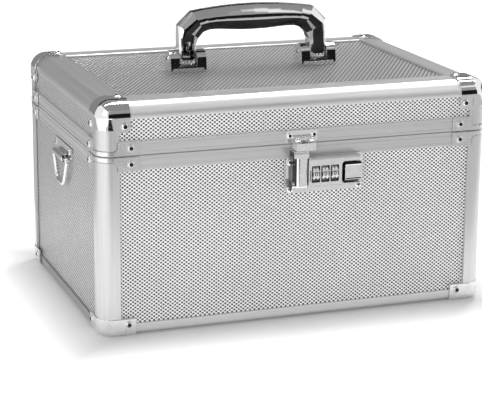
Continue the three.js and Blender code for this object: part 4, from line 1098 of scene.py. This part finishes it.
# The slide button. A chromed casting in the bay, with a dished face and a bevelled top and
# bottom, on a stem through the board that draws the bolt. A spring pushes it back to the left.
knob_left, knob_right = 31.2, 44.4
knob_low, knob_high = dial_z - 7.2, dial_z + 7.2
knob_front, knob_back = lock_front - 0.5, flange_y - 1.1
stem_left, stem_right, stem_half = 34.8, 40.8, 2.5
knob_section = [(knob_back, knob_low), (knob_front + 1.5, knob_low), (knob_front, knob_low + 1.7)]
knob_section += [(knob_front, knob_high - 1.7), (knob_front + 1.5, knob_high), (knob_back, knob_high)]
knob = prism(knob_section, knob_left, knob_right)
knob_face = [f for f in knob.faces if f.normal.y < -0.9]
bmesh.ops.inset_region(knob, faces=knob_face, thickness=0.9, depth=-0.45)
stem_low, stem_high = dial_z - stem_half, dial_z + stem_half
stem = box_solid(stem_left, stem_right, knob_back - 1, board_y + 6.2, stem_low, stem_high)
# The knob's left side and upper bevel are painted dark as a dark reflection.
made_piece(
    gathered(knob, stem), "slide_knob", satin_chromed, "slide_button", "slide_button",
    bevel=0.35, choose=lambda face: 1 if face.normal.x < -0.9 or 0.5 < face.normal.z < 0.9 else 0,
)

# The latch arm. A chromed lever with a rounded ridge, on pins low in the housing. Its broad head
# stands under the strike's hood when the lid is shut.
arm_front, arm_back = board_y - 11.3, flange_y - 1.1
arm_top = heights("latch_arm")[1]
head_low, head_left = arm_top - 4.6, arm_right - 11.4
ridge = box_solid(arm_left, arm_right, arm_front, arm_back, arm_axis_z, head_low + 0.5)
ridge = rounded_edges(ridge, lambda a, b: abs(a.z - b.z) > 1 and max(a.y, b.y) < arm_front + 0.1, 3.3, 8)
head_section = [(arm_back, head_low), (arm_front - 0.3, head_low), (arm_front - 0.3, arm_top - 1.6)]
head_section += [(arm_front + 1.3, arm_top), (arm_back, arm_top)]
head = prism(head_section, head_left, arm_right)
heel = round_bar(0, arm_heel, arm_left, arm_right, arm_axis_y, arm_axis_z)
pins = round_bar(0, 1.2, arm_left - 2.0, body_left + 1.4, arm_axis_y, arm_axis_z)
# The lever's left side is painted dark as shade.
made_piece(
    gathered(carved(ridge, [head, heel], "UNION"), pins), "latch_lever", satin_chromed,
    "latch_arm", "latch_arm", bevel=0.35, choose=lambda face: 1 if face.normal.x < -0.8 else 0,
)

# The strike. A chromed pressing riveted on the lid's rim, with a stepped hood that reaches down
# over the latch arm's head and a slot where the two are seen to meet.
strike_x = 0.6
strike_half, strike_rivet_out = 12.4, 9.4
strike_top = lid_rim_top - 0.3
strike_low = strike_top - 8.6
strike_back = board_y - 0.3
strike_front = strike_back - 1.2
hood_front = board_y - 11.0
hood_low, hood_top = lid_rim_top - 13.6, lid_rim_top - 4.2
hood_left, hood_right = strike_x - 7.5, strike_x + 7.5
hood_sheet, slot_half = 1.2, 3.3
step_y = (strike_front + hood_front) / 2 - 1.0
step_z = hood_top - 2.2
strike_left, strike_right = strike_x - strike_half, strike_x + strike_half
plate = box_solid(strike_left, strike_right, strike_front, strike_back, strike_low, strike_top)
plate = rounded_edges(plate, through_board, 2.0)
hood_section = [(strike_front + 0.6, hood_top), (strike_front - 1.0, hood_top)]
hood_section += [(step_y + 0.8, hood_top - 0.7), (step_y, step_z + 0.3), (step_y - 0.2, step_z)]
hood_section += [(hood_front + 1.0, step_z - 0.4)]
hood_section += [(hood_front, step_z - 1.6), (hood_front, hood_low), (strike_front + 0.6, hood_low)]
under_section = [(strike_back + 1, hood_low - 1), (hood_front + hood_sheet, hood_low - 1)]
under_section += [(hood_front + hood_sheet, step_z - 2.4), (strike_front, step_z - 1.4)]
under_section += [(strike_front, strike_low), (strike_back + 1, strike_low)]
slot = (strike_x - slot_half, strike_x + slot_half, hood_front - 1, step_y + 0.4, step_z - 1.5, step_z + 1)
strike = carved(
    carved(plate, [prism(hood_section, hood_left, hood_right)], "UNION"),
    [
        prism(under_section, hood_left + hood_sheet, hood_right - hood_sheet),
        box_solid(*slot),
        box_solid(hood_left - 1, hood_right + 1, strike_front, strike_back + 2, hood_low - 1, strike_low),
    ],
)
strike_rivets = [
    rivet(1.9, 1.0, (strike_x + side * strike_rivet_out, strike_front, strike_top - 3.6), (0, -1, 0))
    for side in (-1, 1)
]
strike = gathered(strike, *strike_rivets)
made_piece(strike, "strike", satin_chromed, "lid", "strike_plate", bevel=0.28)

# The strap rings. On each side a chromed plate screwed under the base rim is rolled into a sleeve,
# and a tapered ring of bent wire hangs from it, for a shoulder strap.
wire_radius = 1.8
ring_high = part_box("strap_ring_right")[1] * 1000.0
ring_axis_x, ring_axis_z = ring_high.x - wire_radius, ring_high.z - wire_radius
ring_top_half, ring_foot_half, ring_drop = 21.0, 10.0, 21.0
ring_plate_in = half_width - 1.3
ring_plate_out = ring_plate_in + 1.5
ring_plate_top = base_rim_foot - 0.8
sleeve_half, sleeve_round, sleeve_bore = 13.0, 3.2, 2.2


def ring_plate():
    """The plate and sleeve on the right side."""
    plate = box_solid(ring_plate_in, ring_plate_out, -25.0, 25.0, ring_plate_top - 10.0, ring_plate_top)
    plate = rounded_edges(plate, lambda a, b: abs(a.x - b.x) > 0.1, 2.2)
    sleeve = round_bar(1, sleeve_round, -sleeve_half, sleeve_half, ring_axis_z, ring_axis_x)
    rolled = carved(plate, [sleeve], "UNION")
    rolled = carved(rolled, [round_bar(1, sleeve_bore, -27.0, 27.0, ring_axis_z, ring_axis_x, 20)])
    heads = [screw(2.3, 0.9, (ring_plate_out, y, ring_plate_top - 4.2), (1, 0, 0)) for y in (-20.0, 20.0)]
    return gathered(rolled, *heads)


def wire_ring():
    """The ring of wire on the right side: straight through the sleeve, tapering to its foot."""
    outline = bmesh.new()
    half = [(ring_top_half, 0.0), (ring_foot_half, -ring_drop)]
    corner_places = half + [(-y, z) for y, z in reversed(half)]
    outline.faces.new([outline.verts.new((0.0, y, z)) for y, z in corner_places])
    top_pair = [v for v in outline.verts if v.co.z > -1.0]
    foot_pair = [v for v in outline.verts if v.co.z < -1.0]
    for pair, bend in ((top_pair, 5.2), (foot_pair, 5.0)):
        rounded(outline, pair, bend, 8, "VERTICES")
    outline.faces.ensure_lookup_table()
    path = [v.co.copy() for v in outline.faces[0].verts]
    outline.free()
    curve = bpy.data.curves.new("wire", "CURVE")
    curve.dimensions = "3D"
    curve.bevel_depth = wire_radius
    curve.bevel_resolution = 5
    spline = curve.splines.new("POLY")
    spline.points.add(len(path) - 1)
    for point, place in zip(spline.points, path):
        point.co = (ring_axis_x + place.x, place.y, ring_axis_z + place.z, 1.0)
    spline.use_cyclic_u = True
    return meshed(curve)


for hand, sign in (("left", -1), ("right", 1)):
    plate, ring = turned_to(ring_plate(), sign, 1), turned_to(wire_ring(), sign, 1)
    node = f"strap_ring_bracket_{hand}"
    made_piece(plate, f"ring_sleeve_{hand}", chromed, "base", node, bevel=0.2)
    node = f"strap_ring_{hand}"
    made_piece(ring, f"wire_ring_{hand}", chromed, node, node, smooth=50.0)

# The linings. Thin foam faced with dark cloth and glued inside the base and the lid, with rolled
# top edges and soft inside corners.
cloth = Finish("lining_cloth", {"Roughness": 0.92, "Specular IOR Level": 0.2})
pile = cloth.cloud(1400.0, 3.0)
cloth.wire("Base Color", cloth.ramp(pile * 0.6 + cloth.cloud(14.0, 2.0) * 0.4, (0.3, 0.018), (0.7, 0.05)))
cloth.wire("Normal", cloth.bump(pile, 0.4, 0.0004))
wall_out, wall_in = 7.5, 9.5
foam_round, foam_floor = 5.0, 7.0


def lining(name, body, node, floor_z, rim_z):
    """A tray of foam: its wall's section, drawn round the case and closed over at both ends."""
    up = math.copysign(1.0, rim_z - floor_z)
    section = [(wall_out, floor_z), (wall_out, rim_z - up * 0.6), (wall_out + 0.4, rim_z - up * 0.1)]
    section += [(wall_in - 1.0, rim_z), (wall_in - 0.4, rim_z - up * 0.1), (wall_in, rim_z - up * 0.8)]
    section += [(wall_in, floor_z + up * foam_floor)]
    bend = arc(wall_in + foam_round, foam_floor, foam_round, 195.0, 270.0, 5)
    section += [(inset, floor_z + up * rise) for inset, rise in bend]
    bm = bmesh.new()
    drawn_loops(bm, section)
    bmesh.ops.holes_fill(bm, edges=[e for e in bm.edges if e.is_boundary], sides=0)
    piece = made_piece(bm, name, [cloth], body, node, smooth=60.0)


tray_floor, tray_rim = heights("base_lining")
hood_rim, hood_floor = heights("lid_lining")
lining("tray_lining", "base", "base_lining", tray_floor, tray_rim)
lining("hood_lining", "lid", "lid_lining", hood_floor, hood_rim)
